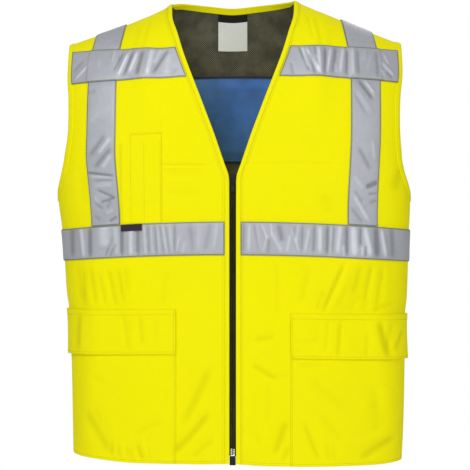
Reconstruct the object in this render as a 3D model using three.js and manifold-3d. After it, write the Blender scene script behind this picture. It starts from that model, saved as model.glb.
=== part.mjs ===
// A cooling vest as it hangs when worn, built as separate cloth pieces on one shared body surface.
// Millimetres, +Z up, the front faces -Y. The origin is midway between the two neck points.
import * as THREE from 'three';
import Module from 'manifold-3d';

const wasm = await Module();
wasm.setup();

// Body: drops are measured down from the neck points
const BODY_LENGTH = 718;
const HALF_WIDTH = 280;
const FRONT_DEPTH = 124;
const BACK_DEPTH = 116;
const NECK_HALF_WIDTH = 97;
const NECK_RISE = 45;
const SHOULDER_INSET = 17;
const SHOULDER_FALL = 62;
const SHOULDER_ROLL_DROP = 230;
const UNDERARM_DROP = 295;
const NECKLINE_DROP = 276;
const HEM_TILT = 0.022;
const FOLD_LIFT = 6;

// Cloth walls and the space between layers
const GAP = 0.4;
const SEAM_GAP = 0.5;
const SHELL_WALL = 2;
const LINING_WALL = 1.2;
const POCKET_WALL = 1.5;
const FLAP_WALL = 2;
const TAPE_WALL = 1;
const LABEL_WALL = 0.8;
const BAND_WALL = 2.8;
const BAND_WIDTH = 7;

// Reflective tape
const TAPE_WIDTH = 51.5;
const WAIST_TAPE_DROP = 371.75;
const CHEST_TAPE_DROP = 98;
const CHEST_TAPE_UPRIGHT = 0.9126;
const CHEST_TAPE_SETBACK = 1.8;
const BRACE_SETBACK = 36;
const BRACE_SPREAD = 46;
const BRACE_DRIFT = 6;
const BRACE_LEAN = 12;

// Pockets and labels
const POCKET_INNER = 88;
const FLAP_DROP = 485;
const FLAP_HEIGHT = 70;
const FLAP_LIFT = 3.5;
const PEN_POCKET_SETBACK = 2;
const PEN_POCKET_WIDTH = 64;
const PEN_STRIP_WIDTH = 15;
const PEN_POCKET_DROP = 205;
const PEN_STRIP_DROP = 219;
const SIDE_LABEL_WIDTH = 33;
const SIDE_LABEL_HEIGHT = 10;
const NECK_LABEL_HALF_WIDTH = 24;

// Cooling pad on the inside of the back
const PAD_DROP = 105;
const PAD_HEIGHT = 144;
const PAD_HALF_WIDTH = 130;
const PAD_WALL = 8;
const PAD_RIM_WALL = 3;

// Zip
const ZIP_EDGE = 5.2;
const CHAIN_WIDTH = 5;
const CHAIN_WALL = 2.6;
const CHAIN_SINK = 1.3;
const ZIP_TAPE_WIDTH = 10;
const ZIP_TAPE_WALL = 1;
const SLIDER_DROP = 282;
const SLIDER_WIDTH = 9.6;
const SLIDER_HEIGHT = 19;
const SLIDER_PLATE = 1.4;
const SLIDER_CORE_WIDTH = 3.2;
const SLIDER_CORE_HEIGHT = 9;
const CROWN_WIDTH = 2.2;
const CROWN_HEIGHT = 15;
const CROWN_RISE = 4;
const CROWN_WALL = 1.2;
const PULL_WIDTH = 6.4;
const PULL_LENGTH = 24;
const PULL_WALL = 1.3;
const PULL_BAR = 1.5;
const PULL_EYE_WIDTH = 3.8;
const PULL_CORNER = 1;
const BOX_WIDTH = 9.4;
const BOX_HEIGHT = 14;
const BOX_WALL = 4.6;
const BOX_OVERHANG = 2;

// Body sections: down is a share of the body's length, half of its half width, front and back of its depths
const SECTIONS = [
  { down: 0.32, half: 0.986, front: 1.0, back: 1.0, squareness: 3.0 },
  { down: 0.37, half: 0.998, front: 1.0, back: 0.99, squareness: 2.9 },
  { down: 0.42, half: 0.996, front: 1.0, back: 0.98, squareness: 2.8 },
  { down: 0.5, half: 0.979, front: 0.98, back: 0.94, squareness: 2.6 },
  { down: 0.58, half: 0.971, front: 0.96, back: 0.93, squareness: 2.5 },
  { down: 0.64, half: 0.964, front: 0.95, back: 0.94, squareness: 2.4 },
  { down: 0.7, half: 0.944, front: 0.95, back: 0.96, squareness: 2.4 },
  { down: 0.8, half: 0.933, front: 0.94, back: 0.97, squareness: 2.4 },
  { down: 1.0, half: 0.918, front: 0.92, back: 0.96, squareness: 2.4 },
];

// Neckline: down is a share of its drop, out a share of the way from the zip edge to the neck point
const NECKLINE = [
  { down: 0, out: 1 },
  { down: 0.11, out: 0.972 },
  { down: 0.2, out: 0.88 },
  { down: 0.3, out: 0.776 },
  { down: 0.435, out: 0.624 },
  { down: 0.55, out: 0.491 },
  { down: 0.667, out: 0.359 },
  { down: 0.764, out: 0.251 },
  { down: 0.928, out: 0.083 },
  { down: 1, out: 0.01 },
  { down: 1.08, out: 0 },
  { down: 4, out: 0 },
];

// Armhole edge: down is a share of the body's length, out millimetres beyond the shoulder's half width
const ARMHOLES = [
  { down: 0, out: 0 },
  { down: 0.05, out: 0 },
  { down: 0.1, out: 0 },
  { down: 0.15, out: 0 },
  { down: 0.2, out: -3.6 },
  { down: 0.25, out: -4.5 },
  { down: 0.285, out: -3.4 },
  { down: 0.32, out: 0 },
];

// How far the sides are shifted towards the wearer's left, in millimetres
const SHIFTS = [
  { down: 0, shift: 4 },
  { down: 0.12, shift: 4.3 },
  { down: 0.2, shift: 3.1 },
  { down: 0.285, shift: 2.1 },
  { down: 0.335, shift: 0.6 },
  { down: 0.39, shift: 1.8 },
  { down: 0.5, shift: 5.1 },
  { down: 0.7, shift: 7.1 },
  { down: 0.8, shift: 8 },
  { down: 1, shift: 7 },
];

// How far the sides hang below or above the middle, as shares of the body's length
const SAGS = [
  { down: 0, rise: 0 },
  { down: 0.09, rise: 0 },
  { down: 0.15, rise: -0.01 },
  { down: 0.5, rise: -0.017 },
  { down: 0.57, rise: -0.013 },
  { down: 0.67, rise: -0.005 },
  { down: 0.78, rise: -0.006 },
  { down: 1, rise: 0.006 },
];

// Unevenness from side to side, in millimetres up: across is a share of the half width
const RISES = [
  { across: -1, top: -2, chest: -3.5, hip: 0.5, hem: 0 },
  { across: -0.85, top: -2, chest: -3.5, hip: 1.2, hem: -3 },
  { across: -0.6, top: -3.2, chest: -3.6, hip: 2, hem: -5.5 },
  { across: -0.42, top: -2.2, chest: -3.4, hip: 3, hem: -4 },
  { across: -0.36, top: -0.5, chest: -2.6, hip: 3.2, hem: -3.6 },
  { across: -0.3, top: 5, chest: -1.5, hip: 3.2, hem: -3.2 },
  { across: -0.15, top: 4, chest: -0.5, hip: 1.5, hem: -2.2 },
  { across: 0, top: 1, chest: 0, hip: 0, hem: -0.6 },
  { across: 0.15, top: 4.4, chest: 0, hip: 0.5, hem: -2.8 },
  { across: 0.3, top: 6.6, chest: 0, hip: 1, hem: -3.4 },
  { across: 0.36, top: 6, chest: 0, hip: 1.2, hem: -3.8 },
  { across: 0.6, top: 4.8, chest: 0, hip: 2, hem: -4 },
  { across: 0.8, top: 2.5, chest: -0.5, hip: 3.4, hem: -4 },
  { across: 0.9, top: 0.3, chest: -0.5, hip: 4.2, hem: -2 },
  { across: 1, top: 0, chest: 0, hip: 4.2, hem: 0 },
];

// Folds: across and width are shares of the half width, top and bottom of the length, lift of the fold lift
const FOLDS = [
  { face: -1, across: -0.8, slant: 0.05, top: 0.5, bottom: 1.1, width: 0.09, lift: 1 },
  { face: -1, across: -0.56, slant: 0.02, top: 0.54, bottom: 0.72, width: 0.09, lift: 0.7 },
  { face: -1, across: 0.62, slant: 0.5, top: 0.5, bottom: 0.7, width: 0.1, lift: 0.8 },
  { face: -1, across: 0.84, slant: -0.1, top: 0.5, bottom: 1.1, width: 0.09, lift: 0.9 },
  { face: -1, across: -0.48, slant: -0.1, top: 0.02, bottom: 0.32, width: 0.08, lift: 0.8 },
  { face: -1, across: 0.46, slant: 0.1, top: 0.02, bottom: 0.32, width: 0.08, lift: 0.8 },
  { face: -1, across: -0.35, slant: 0.3, top: 0.22, bottom: 0.48, width: 0.14, lift: -0.5 },
  { face: -1, across: 0.4, slant: -0.3, top: 0.22, bottom: 0.48, width: 0.14, lift: -0.5 },
  { face: 1, across: -0.45, slant: 0.1, top: 0.3, bottom: 1.05, width: 0.12, lift: 0.9 },
  { face: 1, across: 0.4, slant: -0.1, top: 0.3, bottom: 1.05, width: 0.12, lift: 0.9 },
];

// Share of the shoulder's roll at each row between the chest tape and the shoulder line
const ROLL_SHARES = [0.108, 0.39, 0.678, 0.859, 1];
const LABEL_ROW = 0;
const LABEL_HEAD_ROW = 2;
const FACING_ROW = 3;

// Places that follow from the sizes above
const SHOULDER_HALF_WIDTH = HALF_WIDTH - SHOULDER_INSET;
const BRACE_OUTER = SHOULDER_HALF_WIDTH - BRACE_SETBACK;
const BRACE_INNER = BRACE_OUTER - BRACE_SPREAD;
const PEN_POCKET_OUTER = BRACE_INNER - BRACE_DRIFT - PEN_POCKET_SETBACK;
const PEN_POCKET_STEP = PEN_POCKET_OUTER - PEN_STRIP_WIDTH;
const PEN_POCKET_INNER = PEN_POCKET_OUTER - PEN_POCKET_WIDTH;
const SIDE_LABEL_INNER = PEN_POCKET_OUTER - SIDE_LABEL_WIDTH;
const CHEST_TAPE_TOP = CHEST_TAPE_DROP - (TAPE_WIDTH * CHEST_TAPE_UPRIGHT) / 2;
const CHEST_TAPE_BOTTOM = CHEST_TAPE_DROP + (TAPE_WIDTH * CHEST_TAPE_UPRIGHT) / 2;
const WAIST_TAPE_TOP = WAIST_TAPE_DROP - TAPE_WIDTH / 2;
const WAIST_TAPE_BOTTOM = WAIST_TAPE_DROP + TAPE_WIDTH / 2;
const SIDE_LABEL_DROP = WAIST_TAPE_TOP + SIDE_LABEL_HEIGHT;
const FLAP_BOTTOM = FLAP_DROP + FLAP_HEIGHT;
const PAD_BOTTOM = PAD_DROP + PAD_HEIGHT;
const PANEL_SET_IN = BAND_WIDTH + GAP;

// Colours
const YELLOW = 0xf0ee1e;
const SILVER = 0xaeb2b8;
const MESH = 0x43423a;
const BLUE = 0x314e7b;
const BLACK = 0x1c1a10;
const SLATE = 0x2b4348;
const PLUM = 0x2e2433;
const WHITE = 0xd5d6db;

const mix = (a, b, share) => a + (b - a) * share;
const clamp = (value, low, high) => Math.min(high, Math.max(low, value));

// Smooth reading of one column of a table whose rows are in order of a key
function read(table, column, place, key = 'down') {
  const last = table.length - 1;
  const at = clamp(place, table[0][key], table[last][key]);
  let k = 0;
  while (k < last - 1 && table[k + 1][key] <= at) k += 1;
  const slope = (i, j) => (table[j][column] - table[i][column]) / (table[j][key] - table[i][key]);
  const span = table[k + 1][key] - table[k][key];
  const t = (at - table[k][key]) / span;
  const start = k > 0 ? slope(k - 1, k + 1) * span : slope(k, k + 1) * span;
  const end = k < last - 1 ? slope(k, k + 2) * span : slope(k, k + 1) * span;
  const a = table[k][column];
  const b = table[k + 1][column];
  return a + t * (start + t * (3 * (b - a) - 2 * start - end + t * (2 * (a - b) + start + end)));
}

// The body's section at a height
function section(z, face) {
  const down = -z / BODY_LENGTH;
  return {
    half: HALF_WIDTH * read(SECTIONS, 'half', down),
    depth: face < 0 ? FRONT_DEPTH * read(SECTIONS, 'front', down) : BACK_DEPTH * read(SECTIONS, 'back', down),
    power: read(SECTIONS, 'squareness', down),
  };
}

// Height of the shoulder line: it falls to the shoulder tips, and arches over the neck without a kink
const SHOULDER_START = 1.2;
function shoulderLine(x) {
  const span = SHOULDER_HALF_WIDTH - NECK_HALF_WIDTH;
  const t = (Math.abs(x) - NECK_HALF_WIDTH) / span;
  if (t >= 0) return -SHOULDER_FALL * t * (SHOULDER_START + (1 - SHOULDER_START) * t);
  const u = (x / NECK_HALF_WIDTH) ** 2;
  const slope = (SHOULDER_FALL * SHOULDER_START * NECK_HALF_WIDTH) / span;
  return (2 * NECK_RISE - slope / 2) * (1 - u) + (slope / 2 - NECK_RISE) * (1 - u * u);
}

const rollShare = (x, z) => (z + SHOULDER_ROLL_DROP) / (shoulderLine(x) + SHOULDER_ROLL_DROP);
const neckEdge = (z) => ZIP_EDGE + (NECK_HALF_WIDTH - ZIP_EDGE) * read(NECKLINE, 'out', -z / NECKLINE_DROP);
const depthAt = (cut, x) => (
  cut.depth * Math.max(1 - (Math.abs(x) / cut.half) ** cut.power, 0) ** (1 / cut.power)
);
const angleAtX = (cut, x) => Math.asin(clamp(x / cut.half, 0, 1) ** (cut.power / 2));
const angleAtY = (cut, y) => Math.acos(clamp(y / cut.depth, 0, 1) ** (cut.power / 2));

// Zero on the body surface and more outside it
function outside(x, y, z, face) {
  const cut = section(z, face);
  if (z <= -SHOULDER_ROLL_DROP) {
    return (Math.abs(x) / cut.half) ** cut.power + (Math.abs(y) / cut.depth) ** cut.power - 1;
  }
  return (y / depthAt(cut, x)) ** 2 + rollShare(x, z) ** 2 - 1;
}

function outward(x, y, z, face) {
  const step = 0.5;
  return new THREE.Vector3(
    outside(x + step, y, z, face) - outside(x - step, y, z, face),
    outside(x, y + step, z, face) - outside(x, y - step, z, face),
    outside(x, y, z + step, face) - outside(x, y, z - step, face),
  ).normalize();
}

// Height of the folds over the smooth body
function foldLift(x, z, face) {
  let lift = 0;
  const down = -z / BODY_LENGTH;
  for (const fold of FOLDS) {
    if (fold.face === face && down > fold.top && down < fold.bottom) {
      const above = BODY_LENGTH * (mix(fold.top, fold.bottom, 0.5) - down);
      const middle = fold.across * HALF_WIDTH + fold.slant * above;
      const spread = (x - middle) / (fold.width * HALF_WIDTH);
      const fade = Math.sin((Math.PI * (down - fold.top)) / (fold.bottom - fold.top));
      lift += FOLD_LIFT * fold.lift * fade * Math.exp(-spread * spread);
    }
  }
  return lift;
}

// How much the cloth stands higher or lower than it would if both sides were alike
function unevenness(x, down) {
  const across = x / HALF_WIDTH;
  const part = (column) => read(RISES, column, across, 'across');
  const { smoothstep } = THREE.MathUtils;
  const low = smoothstep(down, 0.04, 0.12);
  const upper = part('top') * (1 - low) + part('chest') * (low - smoothstep(down, 0.2, 0.42));
  const lower = part('hip') * (smoothstep(down, 0.55, 0.65) - smoothstep(down, 0.77, 0.92));
  return upper + lower + part('hem') * smoothstep(down, 0.8, 1);
}

// A point of the body surface: side is -1 or 1 in x, face is -1 at the front and 1 at the back
function skin(side, face, angle, z, offset, seam = SEAM_GAP) {
  const cut = section(z, face);
  const reach = cut.half * Math.sin(angle) ** (2 / cut.power);
  const roll = z > -SHOULDER_ROLL_DROP ? Math.sqrt(Math.max(1 - rollShare(reach, z) ** 2, 0)) : 1;
  const x = side * reach;
  const y = face * Math.max(cut.depth * Math.cos(angle) ** (2 / cut.power) * roll, seam / 2);
  const push = outward(x, y, z, face).multiplyScalar(offset + foldLift(x, z, face));
  const down = -z / BODY_LENGTH;
  const share = (x / cut.half) ** 2;
  const tilt = THREE.MathUtils.smoothstep(down, 0.52, 0.67) * HEM_TILT * x;
  return new THREE.Vector3(
    x + push.x + read(SHIFTS, 'shift', down) * share,
    y + push.y,
    z + push.z + read(SAGS, 'rise', down) * BODY_LENGTH * share - tilt + unevenness(x, down),
  );
}

// Angle of the panel's outer edge: the armhole above, the side seam below, set in by some width
function outerAngle(z, face, setIn) {
  const cut = section(z, face);
  if (z >= -SHOULDER_ROLL_DROP) {
    return angleAtX(cut, SHOULDER_HALF_WIDTH + read(ARMHOLES, 'out', -z / BODY_LENGTH) - setIn);
  }
  const drop = (-SHOULDER_ROLL_DROP - z) / (UNDERARM_DROP + setIn - SHOULDER_ROLL_DROP);
  const open = depthAt(section(-SHOULDER_ROLL_DROP, face), SHOULDER_HALF_WIDTH - setIn);
  return angleAtY(cut, Math.max(open * Math.sqrt(Math.max(1 - drop * drop, 0)), SEAM_GAP / 2));
}

// Least step between two columns of a front, and the shares that split the stretch round to its outer edge
const COLUMN_STEP = 12;
const SIDE_SHARES = [0.36, 0.7, 1];
const NECK_SHARES = [0.62, 0.88, 1];

// Column names of the fronts, from the zip out
const FRONT = {
  edge: 0,
  tapeEnd: 1,
  pocket: 2,
  penInner: 3,
  label: 4,
  penStep: 5,
  penOuter: 6,
  braceInner: 7,
  braceOuter: 9,
  side: 12,
};

// Column names of the back, from the middle out
const BACK = { label: 1, neck: 4, pad: 5, braceInner: 6, side: 11 };

// Angles of every column at one height: named places first, then even steps round to the outer edge
function columnAngles(face, z) {
  const cut = section(z, face);
  const wanted = face < 0
    ? [POCKET_INNER, PEN_POCKET_INNER, SIDE_LABEL_INNER, PEN_POCKET_STEP, PEN_POCKET_OUTER]
    : [NECK_LABEL_HALF_WIDTH, ...NECK_SHARES.map((share) => share * NECK_HALF_WIDTH), PAD_HALF_WIDTH];
  const places = face < 0 ? [neckEdge(z) + PANEL_SET_IN] : [0];
  if (face < 0) places.push(places[0] + CHEST_TAPE_SETBACK);
  const step = face < 0 ? COLUMN_STEP : 0;
  const { smoothstep } = THREE.MathUtils;
  const lean = BRACE_LEAN * (1 - smoothstep(-z / BODY_LENGTH, 0.03, 0.15));
  const shift = face < 0 ? lean : 0;
  for (const place of wanted) places.push(Math.max(place - shift, places[places.length - 1] + step));
  const drift = lean + BRACE_DRIFT * smoothstep(-z / BODY_LENGTH, 0.3, 0.47);
  for (const share of [0, 0.5, 1]) places.push(mix(BRACE_INNER, BRACE_OUTER, share) - drift);
  const angles = places.map((x) => angleAtX(cut, x));
  const inner = angles[angles.length - 1];
  const outer = outerAngle(z, face, PANEL_SET_IN);
  for (const share of SIDE_SHARES) angles.push(mix(inner, outer, share));
  return angles;
}

// A row is level, or a share of the roll from the chest tape up to the shoulder line and the neckline
const level = (drop) => ({ drop, height: () => -drop });
const roll = (share) => ({
  drop: -share,
  height: (x) => {
    const start = Math.asin(clamp(rollShare(x, -CHEST_TAPE_TOP), 0, 1));
    const end = Math.asin(clamp(rollShare(x, Math.min(shoulderLine(x), 0)), 0, 1));
    return -SHOULDER_ROLL_DROP + (shoulderLine(x) + SHOULDER_ROLL_DROP) * Math.sin(mix(start, end, share));
  },
});
const rollRows = ROLL_SHARES.map(roll);

const armholeDrop = (turn, setIn) => (
  SHOULDER_ROLL_DROP + (UNDERARM_DROP + setIn - SHOULDER_ROLL_DROP) * Math.sin(THREE.MathUtils.degToRad(turn))
);
const ARMHOLE_TURNS = [30, 55, 75, 90];

// Every level that some piece starts or ends at, from the hem up, with near doubles left out
const LEVEL_DROPS = [
  BODY_LENGTH,
  mix(FLAP_BOTTOM, BODY_LENGTH, 2 / 3),
  mix(FLAP_BOTTOM, BODY_LENGTH, 1 / 3),
  FLAP_BOTTOM,
  mix(FLAP_DROP, FLAP_BOTTOM, 0.5),
  FLAP_DROP,
  mix(WAIST_TAPE_BOTTOM, FLAP_DROP, 0.5),
  WAIST_TAPE_BOTTOM,
  SIDE_LABEL_DROP,
  WAIST_TAPE_TOP,
  ...ARMHOLE_TURNS.map((turn) => armholeDrop(turn, PANEL_SET_IN)),
  PAD_BOTTOM,
  SHOULDER_ROLL_DROP,
  PEN_STRIP_DROP,
  PEN_POCKET_DROP,
  mix(PEN_POCKET_DROP, CHEST_TAPE_BOTTOM, 0.5),
  CHEST_TAPE_BOTTOM,
  PAD_DROP,
  CHEST_TAPE_TOP,
].sort((a, b) => b - a).filter((drop, k, all) => k === 0 || all[k - 1] - drop > SEAM_GAP);

// Rows from a low level up to a high one
function rowsBetween(low, high) {
  const inside = LEVEL_DROPS.filter((drop) => drop < low - SEAM_GAP && drop > high + SEAM_GAP);
  return [level(low), ...inside.map(level), level(high)];
}

// One station of a grid: the angle and height where a column meets a row, found in a few passes
const SETTLING_PASSES = 6;
function station(face, column, row) {
  let z = row.height(SHOULDER_HALF_WIDTH);
  let angle = 0;
  for (let pass = 0; pass < SETTLING_PASSES; pass += 1) {
    const cut = section(z, face);
    angle = columnAngles(face, z)[column];
    z = row.height(cut.half * Math.sin(angle) ** (2 / cut.power));
  }
  return { angle, z };
}

// Draws a grid's lowest row in along its own cells, so that its facets stay parallel to its neighbours'
function drawIn(grid, margin) {
  grid[0].forEach((point, j) => {
    const along = grid[1][j].clone().sub(point);
    point.addScaledVector(along, margin / along.length());
  });
  return grid;
}

// Closed solid between two grids of points; lean says which way each cell's diagonal runs
function solidFromGrids(outer, inner, keep = () => true, lean = () => true) {
  const rows = outer.length;
  const columns = outer[0].length;
  const vertices = [...outer.flat(), ...inner.flat()];
  const id = (i, j, under) => i * columns + j + (under ? rows * columns : 0);
  const kept = (i, j) => i >= 0 && j >= 0 && i < rows - 1 && j < columns - 1 && keep(i, j);
  const faces = [];
  const quad = (a, b, c, d, turned) => {
    if (turned) faces.push([a, b, d], [b, c, d]);
    else faces.push([a, b, c], [a, c, d]);
  };
  for (let i = 0; i < rows - 1; i += 1) {
    for (let j = 0; j < columns - 1; j += 1) {
      if (!kept(i, j)) continue;
      const ring = [[i, j], [i + 1, j], [i + 1, j + 1], [i, j + 1]];
      const top = ring.map(([p, q]) => id(p, q, false));
      const under = ring.map(([p, q]) => id(p, q, true));
      quad(...top, !lean(i, j));
      if (lean(i, j)) faces.push([under[0], under[2], under[1]], [under[0], under[3], under[2]]);
      else faces.push([under[0], under[3], under[1]], [under[1], under[3], under[2]]);
      const beside = [[i, j - 1], [i + 1, j], [i, j + 1], [i - 1, j]];
      beside.forEach(([p, q], k) => {
        if (!kept(p, q)) quad(top[k], under[k], under[(k + 1) % 4], top[(k + 1) % 4], false);
      });
    }
  }
  return solidFromFaces(vertices, faces);
}

function solidFromFaces(vertices, faces) {
  let volume = 0;
  for (const [a, b, c] of faces) {
    volume += new THREE.Vector3().crossVectors(vertices[a], vertices[b]).dot(vertices[c]);
  }
  const index = faces.flatMap(([a, b, c]) => (volume < 0 ? [a, c, b] : [a, b, c]));
  const used = [...new Set(index)];
  const renumber = new Map(used.map((old, k) => [old, k]));
  const geometry = new THREE.BufferGeometry();
  const positions = used.flatMap((k) => vertices[k].toArray());
  geometry.setAttribute('position', new THREE.Float32BufferAttribute(positions, 3));
  geometry.setIndex(index.map((k) => renumber.get(k)));
  geometry.computeVertexNormals();
  return geometry;
}

// Cloth on one front: rows and a run of columns, between two offsets from the body surface
function frontCloth(side, rows, from, to, offsets, margin = 0, keep = undefined) {
  const columns = Array.from({ length: to - from + 1 }, (_, k) => from + k);
  const grid = (high) => rows.map((row, i) => columns.map((column, j) => {
    const { angle, z } = station(-1, column, row);
    return skin(side, -1, angle, z, offsets(column, i, rows.length)[high]);
  }));
  return solidFromGrids(drawIn(grid(1), margin), drawIn(grid(0), margin), keep);
}

// Cloth across the whole back, out to one column on both sides
function backCloth(rows, to, offsets, margin = 0) {
  const columns = Array.from({ length: 2 * to + 1 }, (_, k) => k - to);
  const grid = (high) => rows.map((row, i) => columns.map((column) => {
    const { angle, z } = station(1, Math.abs(column), row);
    return skin(Math.sign(column), 1, angle, z, offsets(column, i, rows.length)[high]);
  }));
  const lean = (i, j) => j >= to;
  return solidFromGrids(drawIn(grid(1), margin), drawIn(grid(0), margin), undefined, lean);
}

const flat = (low, high) => () => [low, high];
const shellRows = [...LEVEL_DROPS.map(level), ...rollRows];

// Layers, counted out from the shell's outer face and in from its inner face
const TAPE_LAYER = [GAP, GAP + TAPE_WALL];
const OVER_TAPE_LAYER = [TAPE_LAYER[1] + GAP, TAPE_LAYER[1] + GAP + TAPE_WALL];
const POCKET_LAYER = [GAP, GAP + POCKET_WALL];
const LINING_LAYER = [-SHELL_WALL - GAP - LINING_WALL, -SHELL_WALL - GAP];
const PAD_FACE = LINING_LAYER[0] - GAP;

// Tape over the chest: it climbs over the brace tape
function chestTapeOffsets(column) {
  return column >= FRONT.braceInner && column <= FRONT.braceOuter ? OVER_TAPE_LAYER : TAPE_LAYER;
}

// Flap over the pocket: its lower outer corner stands off
function flapOffsets(column, i, count) {
  const out = (column - FRONT.pocket) / (FRONT.side - FRONT.pocket);
  const low = 1 - i / (count - 1);
  const lift = POCKET_LAYER[1] + GAP + FLAP_LIFT * low * out ** 3;
  return [lift, lift + FLAP_WALL];
}

// Pad: thin at its rim and full in the middle
function padOffsets(column, i, count) {
  const rim = i === 0 || i === count - 1 || Math.abs(column) === BACK.pad;
  return [PAD_FACE - (rim ? PAD_RIM_WALL : PAD_WALL), PAD_FACE];
}

// Brace tape: up the front, over the shoulder line and down the back
function braceTape(side) {
  const rising = [...rowsBetween(WAIST_TAPE_TOP - GAP, CHEST_TAPE_TOP), ...rollRows.slice(0, -1)];
  const line = (face, first, row) => [0, 1, 2].map((k) => ({ face, row, column: first + k }));
  const half = (face, first, rows) => rows.map((row) => line(face, first, row));
  const places = [
    ...half(-1, FRONT.braceInner, [...rising, rollRows[rollRows.length - 1]]),
    ...half(1, BACK.braceInner, [...rising].reverse()),
  ];
  const grid = (offset) => places.map((across) => across.map(({ face, row, column }) => {
    const { angle, z } = station(face, column, row);
    return skin(side, face, angle, z, offset, row === rollRows[rollRows.length - 1] ? 0 : SEAM_GAP);
  }));
  return solidFromGrids(grid(TAPE_LAYER[1]), grid(TAPE_LAYER[0]), undefined, (i) => i < rising.length);
}

// Stitched edge along the neckline and the zip
function edgeBand(side) {
  const grid = (offset) => shellRows.map((row) => [0, BAND_WIDTH].map((out) => {
    let z = row.height(NECK_HALF_WIDTH);
    for (let pass = 0; pass < SETTLING_PASSES; pass += 1) z = row.height(neckEdge(z) + out);
    return skin(side, -1, angleAtX(section(z, -1), neckEdge(z) + out), z, offset);
  }));
  return solidFromGrids(grid(BAND_WALL - SHELL_WALL), grid(-SHELL_WALL));
}

// Stitched edge round an armhole: stations run down the front, under the arm and up the back
function armholeBand(side) {
  const levels = LEVEL_DROPS.filter((drop) => drop < SHOULDER_ROLL_DROP + SEAM_GAP).map(level);
  const upper = [...levels, ...rollRows.slice(0, -1)].reverse();
  const places = [];
  const add = (face, height) => places.push({ face, height });
  add(-1, () => shoulderLine);
  upper.forEach((row) => add(-1, () => row.height));
  ARMHOLE_TURNS.forEach((turn) => add(-1, (setIn) => () => -armholeDrop(turn, setIn)));
  ARMHOLE_TURNS.slice(0, -1).reverse().forEach((turn) => add(1, (setIn) => () => -armholeDrop(turn, setIn)));
  [...upper].reverse().forEach((row) => add(1, () => row.height));
  const vertices = [];
  for (const { face, height } of places) {
    for (const [setIn, offset] of [[0, 0], [0, 1], [BAND_WIDTH, 1], [BAND_WIDTH, 0]]) {
      const z = height(setIn)(SHOULDER_HALF_WIDTH - setIn);
      const angle = outerAngle(z, face, setIn);
      vertices.push(skin(side, face, angle, z, offset ? BAND_WALL - SHELL_WALL : -SHELL_WALL, 0));
    }
  }
  const faces = [];
  places.forEach((_, i) => {
    const here = i * 4;
    const next = ((i + 1) % places.length) * 4;
    for (let k = 0; k < 4; k += 1) {
      const l = (k + 1) % 4;
      faces.push([here + k, next + k, next + l], [here + k, next + l, here + l]);
    }
  });
  return solidFromFaces(vertices, faces);
}

// Strip of the zip between two distances from its middle line
function zipStrip(side, inner, outer, low, high, offsets) {
  const places = inner < 0 ? [[-1, -inner], [1, outer]] : [[side, inner], [side, outer]];
  const grid = (offset) => rowsBetween(low, high).map((row) => places.map(([way, x]) => {
    const z = row.height(x);
    return skin(way, -1, angleAtX(section(z, -1), x), z, offset);
  }));
  return solidFromGrids(grid(offsets[1]), grid(offsets[0]));
}

// Booleans on closed three.js shapes
function toManifold(geometry) {
  const source = geometry.getAttribute('position');
  const seen = new Map();
  const positions = [];
  const corner = (k) => {
    const point = [source.getX(k), source.getY(k), source.getZ(k)];
    const key = point.map((value) => Math.round(value * 1e4)).join();
    if (!seen.has(key)) {
      seen.set(key, positions.length / 3);
      positions.push(...point);
    }
    return seen.get(key);
  };
  const every = Array.from({ length: source.count }, (_, k) => k);
  const order = geometry.index ? [...geometry.index.array] : every;
  const corners = order.map(corner);
  const triangles = [];
  for (let k = 0; k < corners.length; k += 3) {
    const [a, b, c] = corners.slice(k, k + 3);
    if (a !== b && b !== c && a !== c) triangles.push(a, b, c);
  }
  return new wasm.Manifold(new wasm.Mesh({
    numProp: 3,
    vertProperties: new Float32Array(positions),
    triVerts: new Uint32Array(triangles),
  }));
}

function join(geometries) {
  const mesh = geometries.map(toManifold).reduce((whole, piece) => whole.add(piece)).getMesh();
  const geometry = new THREE.BufferGeometry();
  geometry.setAttribute('position', new THREE.BufferAttribute(mesh.vertProperties, mesh.numProp));
  geometry.setIndex(new THREE.BufferAttribute(mesh.triVerts, 1));
  geometry.computeVertexNormals();
  return geometry;
}

// Box in the zip's own frame: x across, y out of the cloth, z up
function zipBlock(width, low, high, bottom, top) {
  const block = new THREE.BoxGeometry(width, high - low, top - bottom);
  return block.translate(0, -(low + high) / 2, (bottom + top) / 2);
}

// Slider plate: wide shoulders, narrower mouth
function sliderPlate(low, high) {
  const wide = SLIDER_WIDTH / 2;
  const narrow = wide * 0.78;
  const half = SLIDER_HEIGHT / 2;
  const shape = new THREE.Shape([
    new THREE.Vector2(-narrow, -half),
    new THREE.Vector2(narrow, -half),
    new THREE.Vector2(wide, half * 0.25),
    new THREE.Vector2(wide, half * 0.72),
    new THREE.Vector2(wide * 0.7, half),
    new THREE.Vector2(-wide * 0.7, half),
    new THREE.Vector2(-wide, half * 0.72),
    new THREE.Vector2(-wide, half * 0.25),
  ]);
  const plate = new THREE.ExtrudeGeometry(shape, { depth: high - low, bevelEnabled: false });
  return plate.rotateX(Math.PI / 2).translate(0, -low, 0);
}

const CHAIN_LAYER = [-CHAIN_SINK - CHAIN_WALL, -CHAIN_SINK];
const FRONT_PLATE = [-CHAIN_SINK + GAP, -CHAIN_SINK + GAP + SLIDER_PLATE];
const BACK_PLATE = [CHAIN_LAYER[0] - GAP - SLIDER_PLATE, CHAIN_LAYER[0] - GAP];
const CROWN_TOP = FRONT_PLATE[1] + CROWN_RISE;
const PIVOT_OUT = FRONT_PLATE[1] + (CROWN_RISE - CROWN_WALL) / 2;
const PIVOT_UP = CROWN_HEIGHT / 2 - CROWN_WALL - PULL_BAR * 1.6;
const PULL_EYE_LENGTH = PIVOT_UP + CROWN_HEIGHT / 2 - PULL_BAR / 2 + GAP * 1.5;

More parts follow.
